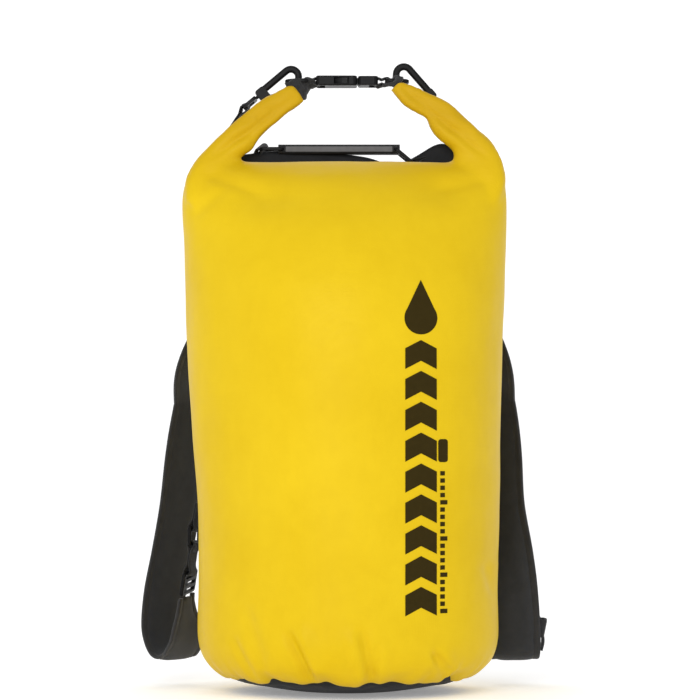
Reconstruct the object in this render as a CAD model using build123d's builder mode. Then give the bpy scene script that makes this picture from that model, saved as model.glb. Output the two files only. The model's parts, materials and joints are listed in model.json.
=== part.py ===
"""Roll-top waterproof dry sack (a large stuff sack) with a backpack harness.

Row frame: millimetres, +Z up, origin at the middle of the base where the sack stands.
+Y is the back, where the harness sits; -Y is the plain front; +X is the right seen from the front.
The sack is filled, its mouth is rolled down, and the two ends of the roll are clipped together
above it, so that the roll makes a carrying loop.
"""

import os
from math import cos, pi, radians, sin, sqrt

from build123d import *

os.makedirs("parts", exist_ok=True)

# ---------------------------------------------------------------- driving dimensions
# Tube: height, half width, half depth and y of the middle of each level. It is round below and
# closes to a flat, wide neck where the mouth starts to roll.
TUBE_LEVELS = [
    (60, 150.2, 150.2, 0),
    (140, 152, 152, 0),
    (220, 153.5, 153, 0),
    (300, 156, 152.5, 0),
    (345, 158, 149.5, 0),
    (385, 160, 143, 0),
    (420, 161.5, 131, 0),
    (450, 162.5, 113, -2),
    (475, 163, 90, -6),
    (495, 162.5, 65, -10),
    (512, 159, 39, -15),
    (524, 148, 19, -19),
    (536, 130, 11, -21),
]
TARPAULIN = 1.0  # wall of the coated fabric
TUBE_TOP = 528  # where the neck ends inside the roll
BASE_FLAT = 111  # radius of the flat part of the base
BASE_CORNER = 38  # radius of the base's rounded edge
HEM_ANGLE = 42  # where the tube's lower hem ends, up from straight down
CUP_HEIGHT = 58  # how far the base cup reaches up inside the tube
SEAM_GAP = 0.2  # between two layers that are welded or sewn together

ROLL_FRONT, ROLL_BACK = -27, -15  # y of the two faces of the rolled band

WEBBING = 25  # width of the narrow webbing
WEB_THICK = 1.6
BIGHT_INNER = 2.7  # inside radius where webbing turns round a bar

# Clip that joins the two ends of the roll, with its middle plane
CLIP_Y, CLIP_Z = 2, 608
BUCKLE_HALF_WIDTH, BUCKLE_HALF_HEIGHT = 17, 5
FEMALE_END, MOUTH, MALE_END = -31, 10, 31  # along x
RING_BAR_X = 40  # straight bar of each D-ring, from the middle
RING_BOW_X = 60  # middle of each D-ring's bow
RING_WIRE = 4.2

# Snap hooks, drawn once about the middle of the bend: u runs up the shank, v into the throat
HOOK_Y = 7
HOOK_ANGLES = {"left": 40, "right": 131}
HOOK_MIDDLES = {"left": (-56.2, 613.5), "right": (57, 616)}  # x and z of the middle of each bend
HOOK_BEND = 7.6
HOOK_BAND, HOOK_DEPTH = 7, 7.6
HOOK_NOSE = 10
SHANK_START = -32
GATE_PIVOT = (-31, 2)
GATE_END = (-5.5, 11)
SWIVEL_V = -5
EYE_BAR = -55

# Harness
PAD_WIDTH, PAD_THICK = 52, 8
ANCHOR_AZIMUTHS = {"left": 163, "right": 43}  # round the tube, from +X towards the back
ANCHOR_Z = 160
ANCHOR_RADIUS = 161.5


# ---------------------------------------------------------------- helpers
def tube_form(grow, top):
    """Solid with the outside shape of the tube above the base, grown by some millimetres."""
    with BuildPart() as form:
        for height, half_width, half_depth, y_mid in TUBE_LEVELS:
            with BuildSketch(Plane.XY.offset(height)):
                with Locations((0, y_mid)):
                    Ellipse(half_width + grow, half_depth + grow)
        loft(ruled=True)
        if top < TUBE_LEVELS[-1][0]:
            split(bisect_by=Plane.XY.offset(top), keep=Keep.BOTTOM)
    return form.part


def back_point(x, z, lift):
    """Point on the back of the tube at x and z, lifted off square to it, and the way off it."""
    below, above = next(
        pair for pair in zip(TUBE_LEVELS, TUBE_LEVELS[1:]) if pair[0][0] <= z <= pair[1][0]
    )
    share = (z - below[0]) / (above[0] - below[0])
    a, b, y_mid = [low + (high - low) * share for low, high in zip(below[1:], above[1:])]
    slopes = [(high - low) / (above[0] - below[0]) for low, high in zip(below[1:], above[1:])]
    y = b * sqrt(1 - (x / a) ** 2)
    rise = -(x**2) * slopes[0] / a**3 - y**2 * slopes[1] / b**3 - y * slopes[2] / b**2
    normal = Vector(x / a**2, y / b**2, rise).normalized()
    return Vector(x, y + y_mid, z) + normal * lift, normal


def lie_on_back(spots):
    """Strip path through (x, z, lift) spots that stays flat on the back of the tube."""
    placed = [back_point(*spot) for spot in spots]
    path = []
    for i, (point, normal) in enumerate(placed):
        along = placed[min(i + 1, len(spots) - 1)][0] - placed[max(i - 1, 0)][0]
        path.append((tuple(point), tuple(along.cross(normal).normalized())))
    return path


def skin(start, thickness, window):
    """A layer that lies on the tube, from one offset to another, cut to a window solid."""
    with BuildPart() as layer:
        add(tube_form(start + thickness, TUBE_LEVELS[-1][0]))
        add(tube_form(start, TUBE_LEVELS[-1][0]), mode=Mode.SUBTRACT)
        add(window, mode=Mode.INTERSECT)
    return layer.part


def back_window(half_width, low, high, corner, x_mid=0):
    """Rounded rectangle seen from behind, as a prism that runs out of the back."""
    with BuildPart() as prism:
        with BuildSketch(Plane.XZ.offset(5)):
            with Locations((x_mid, (low + high) / 2)):
                RectangleRounded(2 * half_width, high - low, corner)
        extrude(amount=-220)
    return prism.part


def bight(plane, width):
    """Webbing turned round a bar: a short tube, its axis along the plane's normal."""
    with BuildPart() as turn:
        with BuildSketch(plane):
            Circle(BIGHT_INNER + WEB_THICK)
            Circle(BIGHT_INNER, mode=Mode.SUBTRACT)
        extrude(amount=width / 2, both=True)
    return turn.part


def strip_planes(path):
    """Planes across a strip, one for each (point, direction across it)."""
    points = [Vector(*point) for point, _ in path]
    planes = []
    for i, (point, (_, across)) in enumerate(zip(points, path)):
        along = (points[min(i + 1, len(path) - 1)] - points[max(i - 1, 0)]).normalized()
        across = Vector(*across)
        across = (across - along * across.dot(along)).normalized()
        planes.append(Plane(origin=point, x_dir=across, z_dir=along))
    return planes


def strip(planes, width, thickness):
    """Flat strap or webbing lofted through planes across it."""
    with BuildPart() as band:
        for plane in planes:
            with BuildSketch(plane):
                Rectangle(width, thickness)
        loft(ruled=True)
    return band.part


def d_ring(plane, half_width, reach, wire):
    """Moulded D-ring: straight bar along the plane's y at its origin, bow towards its x."""
    with BuildPart() as ring:
        with BuildSketch(plane):
            with BuildLine():
                Line((0, -half_width), (0, half_width))
                ThreePointArc((0, half_width), (reach, 0), (0, -half_width))
            make_face()
            fillet(vertices(), radius=2.5)
            offset(amount=wire / 2)
            offset(amount=-wire, mode=Mode.SUBTRACT)
        extrude(amount=wire / 2, both=True)
        fillet(edges(), radius=wire * 0.3)
    return ring.part


def oblong_ring(plane, length, width, wire):
    """Rectangular ring with round corners, flat in its plane."""
    with BuildPart() as ring:
        with BuildSketch(plane):
            RectangleRounded(length, width, wire * 1.2)
            RectangleRounded(length - 2 * wire, width - 2 * wire, wire * 0.4, mode=Mode.SUBTRACT)
        extrude(amount=wire / 2, both=True)
        fillet(edges().group_by(Axis(plane.origin, plane.z_dir))[-1], radius=wire * 0.25)
        fillet(edges().group_by(Axis(plane.origin, plane.z_dir))[0], radius=wire * 0.25)
    return ring.part


def write(part, name):
    """Label a finished piece and write it under its own name."""
    part.label = name
    export_step(part, f"parts/{name}.step")


# ---------------------------------------------------------------- tube and base
def hem_profile(inner, outer, low_angle, top):
    """Ring profile that follows the base's rounded edge and runs up to a height."""
    with BuildLine() as outline:
        low = CenterArc((BASE_FLAT, BASE_CORNER), outer, low_angle - 90, 90 - low_angle)
        rise = Line(low @ 1, (BASE_FLAT + outer, top))
        across = Line(rise @ 1, (BASE_FLAT + inner, top))
        Line(across @ 1, (BASE_FLAT + inner, BASE_CORNER))
        back = CenterArc((BASE_FLAT, BASE_CORNER), inner, 0, low_angle - 90)
        Line(back @ 1, low @ 0)
    return outline.line


tube_outside = BASE_CORNER + SEAM_GAP + TARPAULIN

with BuildPart() as bag_tube:
    add(tube_form(0, TUBE_TOP))
    add(tube_form(-TARPAULIN, TUBE_TOP - TARPAULIN), mode=Mode.SUBTRACT)
    with BuildSketch(Plane.XZ):
        add(hem_profile(BASE_CORNER + SEAM_GAP, tube_outside, HEM_ANGLE, TUBE_LEVELS[0][0]))
        make_face()
    revolve(axis=Axis.Z)
write(bag_tube.part, "bag_tube")

with BuildPart() as base_cup:
    with BuildSketch(Plane.XZ):
        with BuildLine():
            floor = Line((0, 0), (BASE_FLAT, 0))
            edge = CenterArc((BASE_FLAT, BASE_CORNER), BASE_CORNER, -90, 90)
            rise = Line(edge @ 1, (BASE_FLAT + BASE_CORNER, CUP_HEIGHT))
            rim = Line(rise @ 1, (BASE_FLAT + BASE_CORNER - TARPAULIN, CUP_HEIGHT))
            Line(rim @ 1, (BASE_FLAT + BASE_CORNER - TARPAULIN, BASE_CORNER))
            CenterArc((BASE_FLAT, BASE_CORNER), BASE_CORNER - TARPAULIN, 0, -90)
            Line((BASE_FLAT, TARPAULIN), (0, TARPAULIN))
            Line((0, TARPAULIN), (0, 0))
        make_face()
    revolve(axis=Axis.Z)
write(base_cup.part, "base_cup")

# ---------------------------------------------------------------- rolled mouth
# Seen from the front, the roll is a wide U whose arms lean in towards the clip.
ROLL_OUTLINE = [
    (-156, 508), (-64, 600), (-42, 579), (-84, 541), (-110, 528), (-60, 524), (48, 526),
    (104, 540), (86, 552), (81, 567), (101, 583), (128, 560), (156, 520), (150, 505), (-146, 498),
]
ROLL_END_OUTLINE = [(44, 597), (53, 607), (74, 595), (60, 584)]

with BuildPart() as rolled_mouth:
    with BuildSketch(Plane.XZ.offset(-ROLL_FRONT)):
        with BuildLine():
            Polyline(*ROLL_OUTLINE, close=True)
        make_face()
    extrude(amount=ROLL_FRONT - ROLL_BACK)
write(rolled_mouth.part, "rolled_mouth")

with BuildPart() as rolled_mouth_end:
    with BuildSketch(Plane.XZ.offset(-ROLL_FRONT)):
        with BuildLine():
            Polyline(*ROLL_END_OUTLINE, close=True)
        make_face()
        fillet(vertices(), radius=3)
    extrude(amount=ROLL_FRONT - ROLL_BACK)
write(rolled_mouth_end.part, "rolled_mouth_end")

# ---------------------------------------------------------------- clip at the ends of the roll
clip_plane = Plane(origin=(0, CLIP_Y, CLIP_Z))
clip_side = Plane(origin=(0, CLIP_Y, CLIP_Z), x_dir=(1, 0, 0), z_dir=(0, -1, 0))
cavity_half_width, cavity_half_height = 14, 3.2
slot_half_width = 13.6
bar_from_end = 1.5  # middle of each webbing bar, in from the buckle's end
prong_root = (12.2, 10)  # pivot of each squeeze prong, x and distance from the middle
prong_radius = 1.7

with BuildPart() as buckle_female:
    with BuildSketch(clip_plane):
        with Locations(((FEMALE_END + MOUTH) / 2, 0)):
            RectangleRounded(MOUTH - FEMALE_END, 2 * BUCKLE_HALF_WIDTH, 4)
    extrude(amount=BUCKLE_HALF_HEIGHT, both=True)
    fillet(edges().filter_by(GeomType.LINE, reverse=True), radius=1.5)
    # the space that takes the male half, open at the mouth
    with Locations((-5, CLIP_Y, CLIP_Z)):
        Box(30, 2 * cavity_half_width, 2 * cavity_half_height)
    # side windows, where the heads of the prongs stand out
    with Locations((-5.5, CLIP_Y, CLIP_Z)):
        Box(15, 2 * BUCKLE_HALF_WIDTH + 2, 2 * cavity_half_height, mode=Mode.SUBTRACT)
        Box(31.5, 2 * cavity_half_width, 2 * cavity_half_height, mode=Mode.SUBTRACT)
    # slot and low bar for the webbing
    with Locations((FEMALE_END + 6, CLIP_Y, CLIP_Z)):
        Box(6, 2 * slot_half_width, 4 * BUCKLE_HALF_HEIGHT, mode=Mode.SUBTRACT)
    with Locations((FEMALE_END, CLIP_Y, CLIP_Z + 4.2), (FEMALE_END, CLIP_Y, CLIP_Z - 4.2)):
        Box(8, 2 * slot_half_width, 4.6, mode=Mode.SUBTRACT)
write(buckle_female.part, "buckle_female")

with BuildPart() as buckle_male:
    with BuildSketch(clip_plane):
        with Locations(((MOUTH + 1 + MALE_END) / 2, 0)):
            RectangleRounded(MALE_END - MOUTH - 1, 2 * BUCKLE_HALF_WIDTH - 1, 4)
    extrude(amount=BUCKLE_HALF_HEIGHT - 0.4, both=True)
    fillet(edges().filter_by(GeomType.LINE, reverse=True), radius=1.2)
    # middle tongue that guides the half in
    with Locations((-1, CLIP_Y, CLIP_Z)):
        Box(26, 5, 5)
    # round seats at the roots of the prongs
    for side in (-1, 1):
        with Locations((prong_root[0], CLIP_Y + side * prong_root[1], CLIP_Z)):
            Cylinder(prong_radius + 0.3, 4 * BUCKLE_HALF_HEIGHT, mode=Mode.SUBTRACT)
            Box(2 * prong_radius + 1.6, 2 * prong_radius + 1.6, 2 * cavity_half_height,
                align=(Align.MAX, Align.CENTER, Align.CENTER), mode=Mode.SUBTRACT)
    with Locations((MALE_END - 6, CLIP_Y, CLIP_Z)):
        Box(6, 2 * slot_half_width, 4 * BUCKLE_HALF_HEIGHT, mode=Mode.SUBTRACT)
    with Locations((MALE_END, CLIP_Y, CLIP_Z + 4.2), (MALE_END, CLIP_Y, CLIP_Z - 4.2)):
        Box(8, 2 * slot_half_width, 4.6, mode=Mode.SUBTRACT)
write(buckle_male.part, "buckle_male")


def squeeze_prong(side):
    """Sprung arm of the male half: round root, slim arm, and a head that stands in the window."""
    root_y = side * prong_root[1]
    with BuildPart() as prong:
        with BuildSketch(clip_plane):
            with Locations((prong_root[0], root_y)):
                Circle(prong_radius)
            with BuildLine():
                Polyline(
                    (prong_root[0], root_y - side * 1.5), (prong_root[0], root_y + side * 1.5),
                    (1.2, side * 12.4), (0.4, side * 16.5), (-5, side * 16.6),
                    (-12.4, side * 12.5), (-14, side * 9.5), (-11, side * 8.6), close=True,
                )
            make_face()
        extrude(amount=cavity_half_height - 0.4, both=True)
    return prong.part


write(squeeze_prong(-1), "front_prong")
write(squeeze_prong(1), "rear_prong")

for side, name in ((-1, "left"), (1, "right")):
    buckle_bar = side * (MALE_END - bar_from_end)
    ring_bar = side * RING_BAR_X
    with BuildPart() as clip_webbing:
        with BuildSketch(clip_side):
            with Locations(((buckle_bar + ring_bar) / 2, 0)):
                SlotCenterToCenter(RING_BAR_X - MALE_END + bar_from_end,
                                   2 * (BIGHT_INNER + WEB_THICK))
                SlotCenterToCenter(RING_BAR_X - MALE_END + bar_from_end, 2 * BIGHT_INNER,
                                   mode=Mode.SUBTRACT)
        extrude(amount=WEBBING / 2, both=True)
    write(clip_webbing.part, f"{name}_clip_webbing")

    ring_plane = Plane(origin=(ring_bar, CLIP_Y, CLIP_Z), x_dir=(side, 0, 0), z_dir=(0, 0, 1))
    write(d_ring(ring_plane, 15, RING_BOW_X - RING_BAR_X, RING_WIRE), f"{name}_d_ring")

# Tabs: the stiff ends of the mouth, which turn from the roll into the clip webbing
under_clip = CLIP_Z - BIGHT_INNER - WEB_THICK - 0.4
with BuildPart() as left_mouth_tab:
    with BuildSketch(Plane.XZ.offset(14)):
        with BuildLine():
            Polyline((-58, 600), (-42.6, 585.4), (-37, 596), (-33, under_clip),
                     (-42, under_clip), close=True)
        make_face()
    extrude(amount=-14.5)
write(left_mouth_tab.part, "left_mouth_tab")

with BuildPart() as right_mouth_tab:
    with BuildSketch(Plane.XZ.offset(14)):
        with BuildLine():
            Polyline((32, under_clip), (44.5, under_clip), (42, 594), (33, 594), close=True)
        make_face()
    extrude(amount=-14.5)
write(right_mouth_tab.part, "right_mouth_tab")


# ---------------------------------------------------------------- snap hooks
def hook_plane(name):
    """Plane of a snap hook: origin in the middle of its bend, x up the shank, y into the throat."""
    side = -1 if name == "left" else 1
    angle = radians(HOOK_ANGLES[name])
    x, z = HOOK_MIDDLES[name]
    return Plane(origin=(x, HOOK_Y, z), x_dir=(cos(angle), 0, sin(angle)), z_dir=(0, -side, 0))


def snap_hook(plane):
    """Shank, bend and nose swept in one, on a base that holds the gate pin and the swivel."""
    base_u, base_v = SHANK_START - 1, (GATE_PIVOT[1] - HOOK_BEND) / 2
    with BuildPart() as hook:
        with BuildLine(plane):
            shank = Line((SHANK_START, -HOOK_BEND), (0, -HOOK_BEND))
            bend = JernArc(shank @ 1, shank % 1, HOOK_BEND, 135)
            Line(bend @ 1, (bend @ 1) + (bend % 1) * HOOK_NOSE)
        with BuildSketch(Plane(origin=shank @ 0, x_dir=plane.z_dir, z_dir=plane.x_dir)):
            RectangleRounded(HOOK_DEPTH, HOOK_BAND, 2.6)
        sweep()
        with BuildSketch(plane.offset(-HOOK_DEPTH / 2)):
            with Locations((base_u, base_v)):
                RectangleRounded(11, GATE_PIVOT[1] + HOOK_BEND + 8, 3)
        extrude(amount=HOOK_DEPTH)
        # slot between two cheeks for the gate
        with BuildSketch(plane.offset(-2.2)):
            with Locations((GATE_PIVOT[0] + 2.5, GATE_PIVOT[1] + 2.5)):
                Rectangle(12, 12.5)
        extrude(amount=4.4, mode=Mode.SUBTRACT)
        # holes for the gate pin and for the stem of the swivel
        with BuildSketch(plane.offset(-HOOK_DEPTH)):
            with Locations(GATE_PIVOT):
                Circle(1.1)
        extrude(amount=2 * HOOK_DEPTH, mode=Mode.SUBTRACT)
        swivel_mouth = plane.from_local_coords((base_u - 6, SWIVEL_V - 1, 0))
        with BuildSketch(Plane(origin=swivel_mouth, z_dir=plane.x_dir)):
            Circle(1.9)
        extrude(amount=5, mode=Mode.SUBTRACT)
    return hook.part


def hook_gate(plane):
    """Sprung gate that closes the throat, with a round eye on its pin."""
    with BuildPart() as gate:
        with BuildSketch(plane.offset(-2)):
            with Locations(GATE_PIVOT):
                Circle(3)
            with BuildLine():
                Polyline(
                    (GATE_PIVOT[0] - 0.7, GATE_PIVOT[1] + 2.6), (GATE_END[0] - 1, GATE_END[1] + 1.9),
                    (GATE_END[0] + 0.6, GATE_END[1] - 1.2), (GATE_PIVOT[0] + 0.7, GATE_PIVOT[1] - 2.6),
                    close=True,
                )
            make_face()
            with Locations(GATE_PIVOT):
                Circle(1.15, mode=Mode.SUBTRACT)
        extrude(amount=4)
    return gate.part


def gate_pin(plane):
    """Steel pin that the gate turns on."""
    with BuildPart() as pin:
        with BuildSketch(plane.offset(-HOOK_DEPTH / 2 + 0.2)):
            with Locations(GATE_PIVOT):
                Circle(1.1)
        extrude(amount=HOOK_DEPTH - 0.4)
    return pin.part


def swivel_eye(plane):
    """Eye that the webbing runs through, turning on a stem in the hook's base."""
    middle = (SHANK_START - 12.5 + EYE_BAR + 2) / 2
    eye_plane = Plane(
        origin=plane.from_local_coords((middle, SWIVEL_V - 1, 0)),
        x_dir=plane.x_dir,
        z_dir=plane.y_dir,
    )
    length = abs(EYE_BAR) - abs(SHANK_START) - 7
    with BuildPart() as eye:
        with BuildSketch(eye_plane):
            RectangleRounded(length, WEBBING + 8, 4)
            RectangleRounded(length - 7.2, WEBBING + 1.5, 0.5, mode=Mode.SUBTRACT)
        extrude(amount=1.75, both=True)
        stem_start = plane.from_local_coords((middle + length / 2 - 2, SWIVEL_V - 1, 0))
        with BuildSketch(Plane(origin=stem_start, z_dir=plane.x_dir)):
            Circle(1.7)
        extrude(amount=8)
    return eye.part


for name in ("left", "right"):
    frame = hook_plane(name)
    write(snap_hook(frame), f"{name}_hook")
    write(hook_gate(frame), f"{name}_gate")
    write(gate_pin(frame), f"{name}_gate_pin")
    write(swivel_eye(frame), f"{name}_swivel_eye")

# ---------------------------------------------------------------- back panel and its padding
write(skin(0.3, 1.5, back_window(112, 96, 538, 26)), "back_panel")
write(skin(2.0, 9, back_window(92, 112, 368, 30)), "back_pad")
with BuildPart() as binding_window:
    add(back_window(96, 108, 372, 34))
    add(back_window(92.3, 111.7, 368.3, 30.3), mode=Mode.SUBTRACT)
write(skin(2.0, 4, binding_window.part), "pad_binding")
write(skin(2.0, 1.6, back_window(82, 428, 476, 12)), "harness_yoke")

# ---------------------------------------------------------------- grab handle
GRIP_LEFT, GRIP_RIGHT = -69, 53
GRIP_Y, GRIP_Z = 18, 541
GRIP_WIDTH, GRIP_HEIGHT = 24, 9.5
RING_LENGTH, RING_SPAN, HANDLE_WIRE = 25, 33, 3.6

with BuildPart() as handle_grip:
    with BuildSketch(Plane.YZ.offset(GRIP_LEFT)):
        with Locations((GRIP_Y, GRIP_Z)):
            RectangleRounded(GRIP_WIDTH, GRIP_HEIGHT, 3.8)
    extrude(amount=GRIP_RIGHT - GRIP_LEFT)
    # shallow pockets along the front and back for the soft inserts
    for edge_y in (GRIP_Y - GRIP_WIDTH / 2, GRIP_Y + GRIP_WIDTH / 2):
        with Locations(((GRIP_LEFT + GRIP_RIGHT) / 2, edge_y, GRIP_Z)):
            Box(GRIP_RIGHT - GRIP_LEFT - 15, 2.4, 5.4, mode=Mode.SUBTRACT)
    # eyes for the inner bars of the rings
    for bar_x in (GRIP_LEFT + 4, GRIP_RIGHT - 4):
        with Locations(Location((bar_x, GRIP_Y, GRIP_Z), (90, 0, 0))):
            Cylinder(2.2, GRIP_WIDTH + 2, mode=Mode.SUBTRACT)
write(handle_grip.part, "handle_grip")

for name, side in (("front", -1), ("rear", 1)):
    with BuildPart() as insert:
        with Locations(((GRIP_LEFT + GRIP_RIGHT) / 2, GRIP_Y + side * (GRIP_WIDTH / 2 - 0.65), GRIP_Z)):
            Box(GRIP_RIGHT - GRIP_LEFT - 15.2, 1, 5.2)
    write(insert.part, f"{name}_handle_insert")

for name, bar_x, side, tilt in (
    ("left", GRIP_LEFT + 4, -1, 0), ("right", GRIP_RIGHT - 4, 1, -40)
):
    way = Vector(side * cos(radians(tilt)), 0, sin(radians(tilt)))
    middle = Vector(bar_x, GRIP_Y, GRIP_Z) + way * (RING_LENGTH - HANDLE_WIRE) / 2
    ring_plane = Plane(origin=middle, x_dir=way, z_dir=(-side * sin(radians(tilt)), 0, cos(radians(tilt))))
    write(oblong_ring(ring_plane, RING_LENGTH, RING_SPAN, HANDLE_WIRE), f"{name}_handle_ring")

    outer_bar = Vector(bar_x, GRIP_Y, GRIP_Z) + way * (RING_LENGTH - HANDLE_WIRE)
    foot = Vector(side * 112, GRIP_Y, 507)
    with BuildPart() as handle_webbing:
        add(bight(Plane(origin=outer_bar, z_dir=(0, 1, 0)), WEBBING))
        drop = (foot - outer_bar).normalized()
        start = outer_bar + drop * (BIGHT_INNER + WEB_THICK / 2)
        path = [(tuple(start), (0, 1, 0)), (tuple((start + foot) * 0.5), (0, 1, 0)),
                (tuple(foot), (0, 1, 0))]
        add(strip(strip_planes(path), WEBBING, 2 * WEB_THICK))
    write(handle_webbing.part, f"{name}_handle_webbing")

# ---------------------------------------------------------------- shoulder straps
# Each path is a list of (point, direction across the strap), from the yoke down to the turn at
# the bottom and up to the ladder lock. The left strap turns forward at the bottom, the right back.
TOP_LIFT = 12  # middle of the pad above the tube where it leaves the yoke


def bottom_turn(start, end, depth, across):
    """Half turn at the bottom of a strap from one leg to the other."""
    steps = 6
    turn = []
    for i in range(steps + 1):
        angle = pi * i / steps
        share = (1 - cos(angle)) / 2
        point = Vector(*start) + (Vector(*end) - Vector(*start)) * share
        turn.append((tuple(point - Vector(0, 0, depth * sin(angle))), across))
    return turn


STRAP_PATHS = {
    "left": lie_on_back([
        (-44, 424, TOP_LIFT), (-76, 404, TOP_LIFT), (-109, 374, TOP_LIFT + 4),
        (-134, 333, TOP_LIFT + 13),
    ]) + [
        ((-160, 124, 290), (0.65, 0.75, 0.1)),
        ((-169, 122, 235), (0.65, 0.75, 0)),
        ((-174.5, 118, 180), (0.68, 0.72, 0)),
        ((-182, 112, 130), (0.7, 0.7, 0)),
        ((-191, 106, 85), (0.73, 0.68, 0)),
    ] + bottom_turn((-192, 104, 40), (-166, 80, 40), 18, (0.66, 0.75, 0)) + [
        ((-166, 64, 58), (0.5, 0.85, 0)),
        ((-165, 53, 76), (0.4, 0.9, 0)),
        ((-162.5, 50, 92), (0.29, 0.956, 0)),
    ],
    "right": lie_on_back([
        (44, 424, TOP_LIFT), (76, 404, TOP_LIFT), (107, 374, TOP_LIFT + 3),
        (128, 333, TOP_LIFT + 10),
    ]) + [
        ((147, 120, 290), (0.7, -0.7, -0.1)),
        ((155, 112, 235), (0.75, -0.65, 0)),
        ((160.5, 103.5, 180), (0.8, -0.6, 0)),
        ((167.5, 94.5, 130), (0.9, -0.4, 0)),
        ((172, 88, 85), (1, -0.15, 0)),
    ] + bottom_turn((173, 86, 36), (174, 116, 34), 16, (1, -0.1, 0)) + [
        ((167.7, 117, 50), (0.89, -0.1, 0.45)),
    ],
}
LOCK_LENGTH, LOCK_WIDTH, LOCK_THICK = 24, 36, 4
LOCK_LAST_BAR = 10.55  # from the middle of the lock to the middle of its last bar
ANCHOR_RING, ANCHOR_WIRE = 20, 3.6

for name in ("left", "right"):
    pad_planes = strip_planes(STRAP_PATHS[name])
    write(strip(pad_planes, PAD_WIDTH, PAD_THICK), f"{name}_shoulder_pad")

    # webbing sewn down the outside of the pad
    outside = (PAD_THICK + WEB_THICK) / 2 + 2 * SEAM_GAP
    webbing_planes = [plane.offset(0) for plane in pad_planes[:9]]
    for plane in webbing_planes:
        plane.origin = plane.origin - plane.y_dir * outside
    write(strip(webbing_planes, WEBBING, WEB_THICK), f"{name}_shoulder_webbing")

    # ladder lock on the end of the pad
    end_plane = pad_planes[-1]
    lock_plane = Plane(
        origin=end_plane.origin + end_plane.z_dir * (LOCK_LENGTH / 2 + 1.5),
        x_dir=end_plane.x_dir,
        z_dir=end_plane.y_dir,
    )
    with BuildPart() as ladder_lock:
        with BuildSketch(lock_plane):
            RectangleRounded(LOCK_WIDTH, LOCK_LENGTH, 4)
            with Locations((0, -7.2), (0, 0), (0, 7.2)):
                Rectangle(WEBBING + 3, 3.8, mode=Mode.SUBTRACT)
        extrude(amount=LOCK_THICK / 2, both=True)
        fillet(edges().filter_by(GeomType.CIRCLE), radius=0.9)
    write(ladder_lock.part, f"{name}_ladder_lock")

    # lower anchor: patch, sewn loop and ring on the flank of the tube, in line with the lock
    azimuth = radians(ANCHOR_AZIMUTHS[name])
    out = Vector(cos(azimuth), sin(azimuth), 0)
    bar = out * ANCHOR_RADIUS + Vector(0, 0, ANCHOR_Z)
    lock_end = lock_plane.origin + end_plane.z_dir * LOCK_LAST_BAR
    pull = lock_end - bar
    pull = (pull - out * pull.dot(out)).normalized()
    tangent = out.cross(pull)
    with BuildPart() as patch_window:
        with BuildSketch(Plane(origin=out * 90 + Vector(0, 0, 142), x_dir=tangent, z_dir=out)):
            RectangleRounded(29, 84, 10)
        extrude(amount=90)
    write(skin(2.0, 1.4, patch_window.part), f"{name}_anchor_patch")

    with BuildPart() as anchor_loop:
        add(bight(Plane(origin=bar, z_dir=tangent), WEBBING - 2))
        sewn = bar - out * (ANCHOR_RADIUS - 156.3) - pull * 14
        with BuildSketch(Plane(origin=sewn, x_dir=tangent, z_dir=out)):
            Rectangle(WEBBING - 2, 30)
        extrude(amount=WEB_THICK)
    write(anchor_loop.part, f"{name}_anchor_loop")
    hang = Plane(origin=bar + pull * (ANCHOR_RING - ANCHOR_WIRE) / 2, x_dir=pull, z_dir=out)
    write(oblong_ring(hang, ANCHOR_RING, 32, ANCHOR_WIRE), f"{name}_anchor_ring")

    # adjusting webbing, turned round the anchor ring and round the last bar of the lock
    ring_end = bar + pull * (ANCHOR_RING - ANCHOR_WIRE)
    way = (lock_end - ring_end).normalized()
    reach = BIGHT_INNER + WEB_THICK - 0.3
    across = end_plane.x_dir if end_plane.x_dir.dot(tangent) > 0 else -end_plane.x_dir
    path = [(ring_end + way * reach, tangent), ((ring_end + lock_end) * 0.5, tangent + across),
            (lock_end - way * reach, across)]
    path = [(tuple(point), tuple(over)) for point, over in path]
    with BuildPart() as lower_webbing:
        add(bight(Plane(origin=ring_end, z_dir=tangent), WEBBING - 3))
        add(bight(Plane(origin=lock_end, z_dir=end_plane.x_dir), WEBBING - 3))
        add(strip(strip_planes(path), WEBBING - 3, 2 * WEB_THICK))
    write(lower_webbing.part, f"{name}_lower_webbing")

# ---------------------------------------------------------------- webbing from the hooks to the yoke
SLIDER_LENGTH, SLIDER_WALL = 14, 2
for name, side in (("left", -1), ("right", 1)):
    frame = hook_plane(name)
    bar = frame.from_local_coords((EYE_BAR + 0.05, SWIVEL_V - 1, 0))
    turn_off = Vector(side * 119, HOOK_Y, 552)
    path = [
        (bar + (turn_off - bar).normalized() * (BIGHT_INNER + WEB_THICK / 2), (0, 1, 0)),
        (turn_off, (0, 1, 0)),
        (Vector(side * 139, 24, 531), (side * -0.3, 1, 0)),
        (Vector(side * 148, 46, 506), (side * -0.6, 1, 0)),
        (Vector(side * 138, 82, 478), (side * -1, 0.7, -0.3)),
        (back_point(side * 108, 452, 9)[0], (side * -1, 0.3, -0.9)),
    ]
    path = [(tuple(point), across) for point, across in path]
    with BuildPart() as hook_webbing:
        add(bight(Plane(origin=bar, z_dir=(0, 1, 0)), WEBBING))
        add(strip(strip_planes(path), WEBBING, 2 * WEB_THICK))
    write(hook_webbing.part, f"{name}_hook_webbing")

    # moulded slider that the doubled webbing runs through
    low, high = strip_planes(path)[1].origin, strip_planes(path)[2].origin
    along = (low - high).normalized()
    section = Plane(origin=(low + high) * 0.5, x_dir=(side * -0.15, 1, 0), z_dir=along)
    with BuildPart() as slider:
        with BuildSketch(section.offset(-SLIDER_LENGTH / 2)):
            RectangleRounded(WEBBING + 8, 2 * WEB_THICK + 2 * SLIDER_WALL + 3, 2)
            Rectangle(WEBBING + 3, 2 * WEB_THICK + 3, mode=Mode.SUBTRACT)
        extrude(amount=SLIDER_LENGTH)
    write(slider.part, f"{name}_slider")
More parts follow.
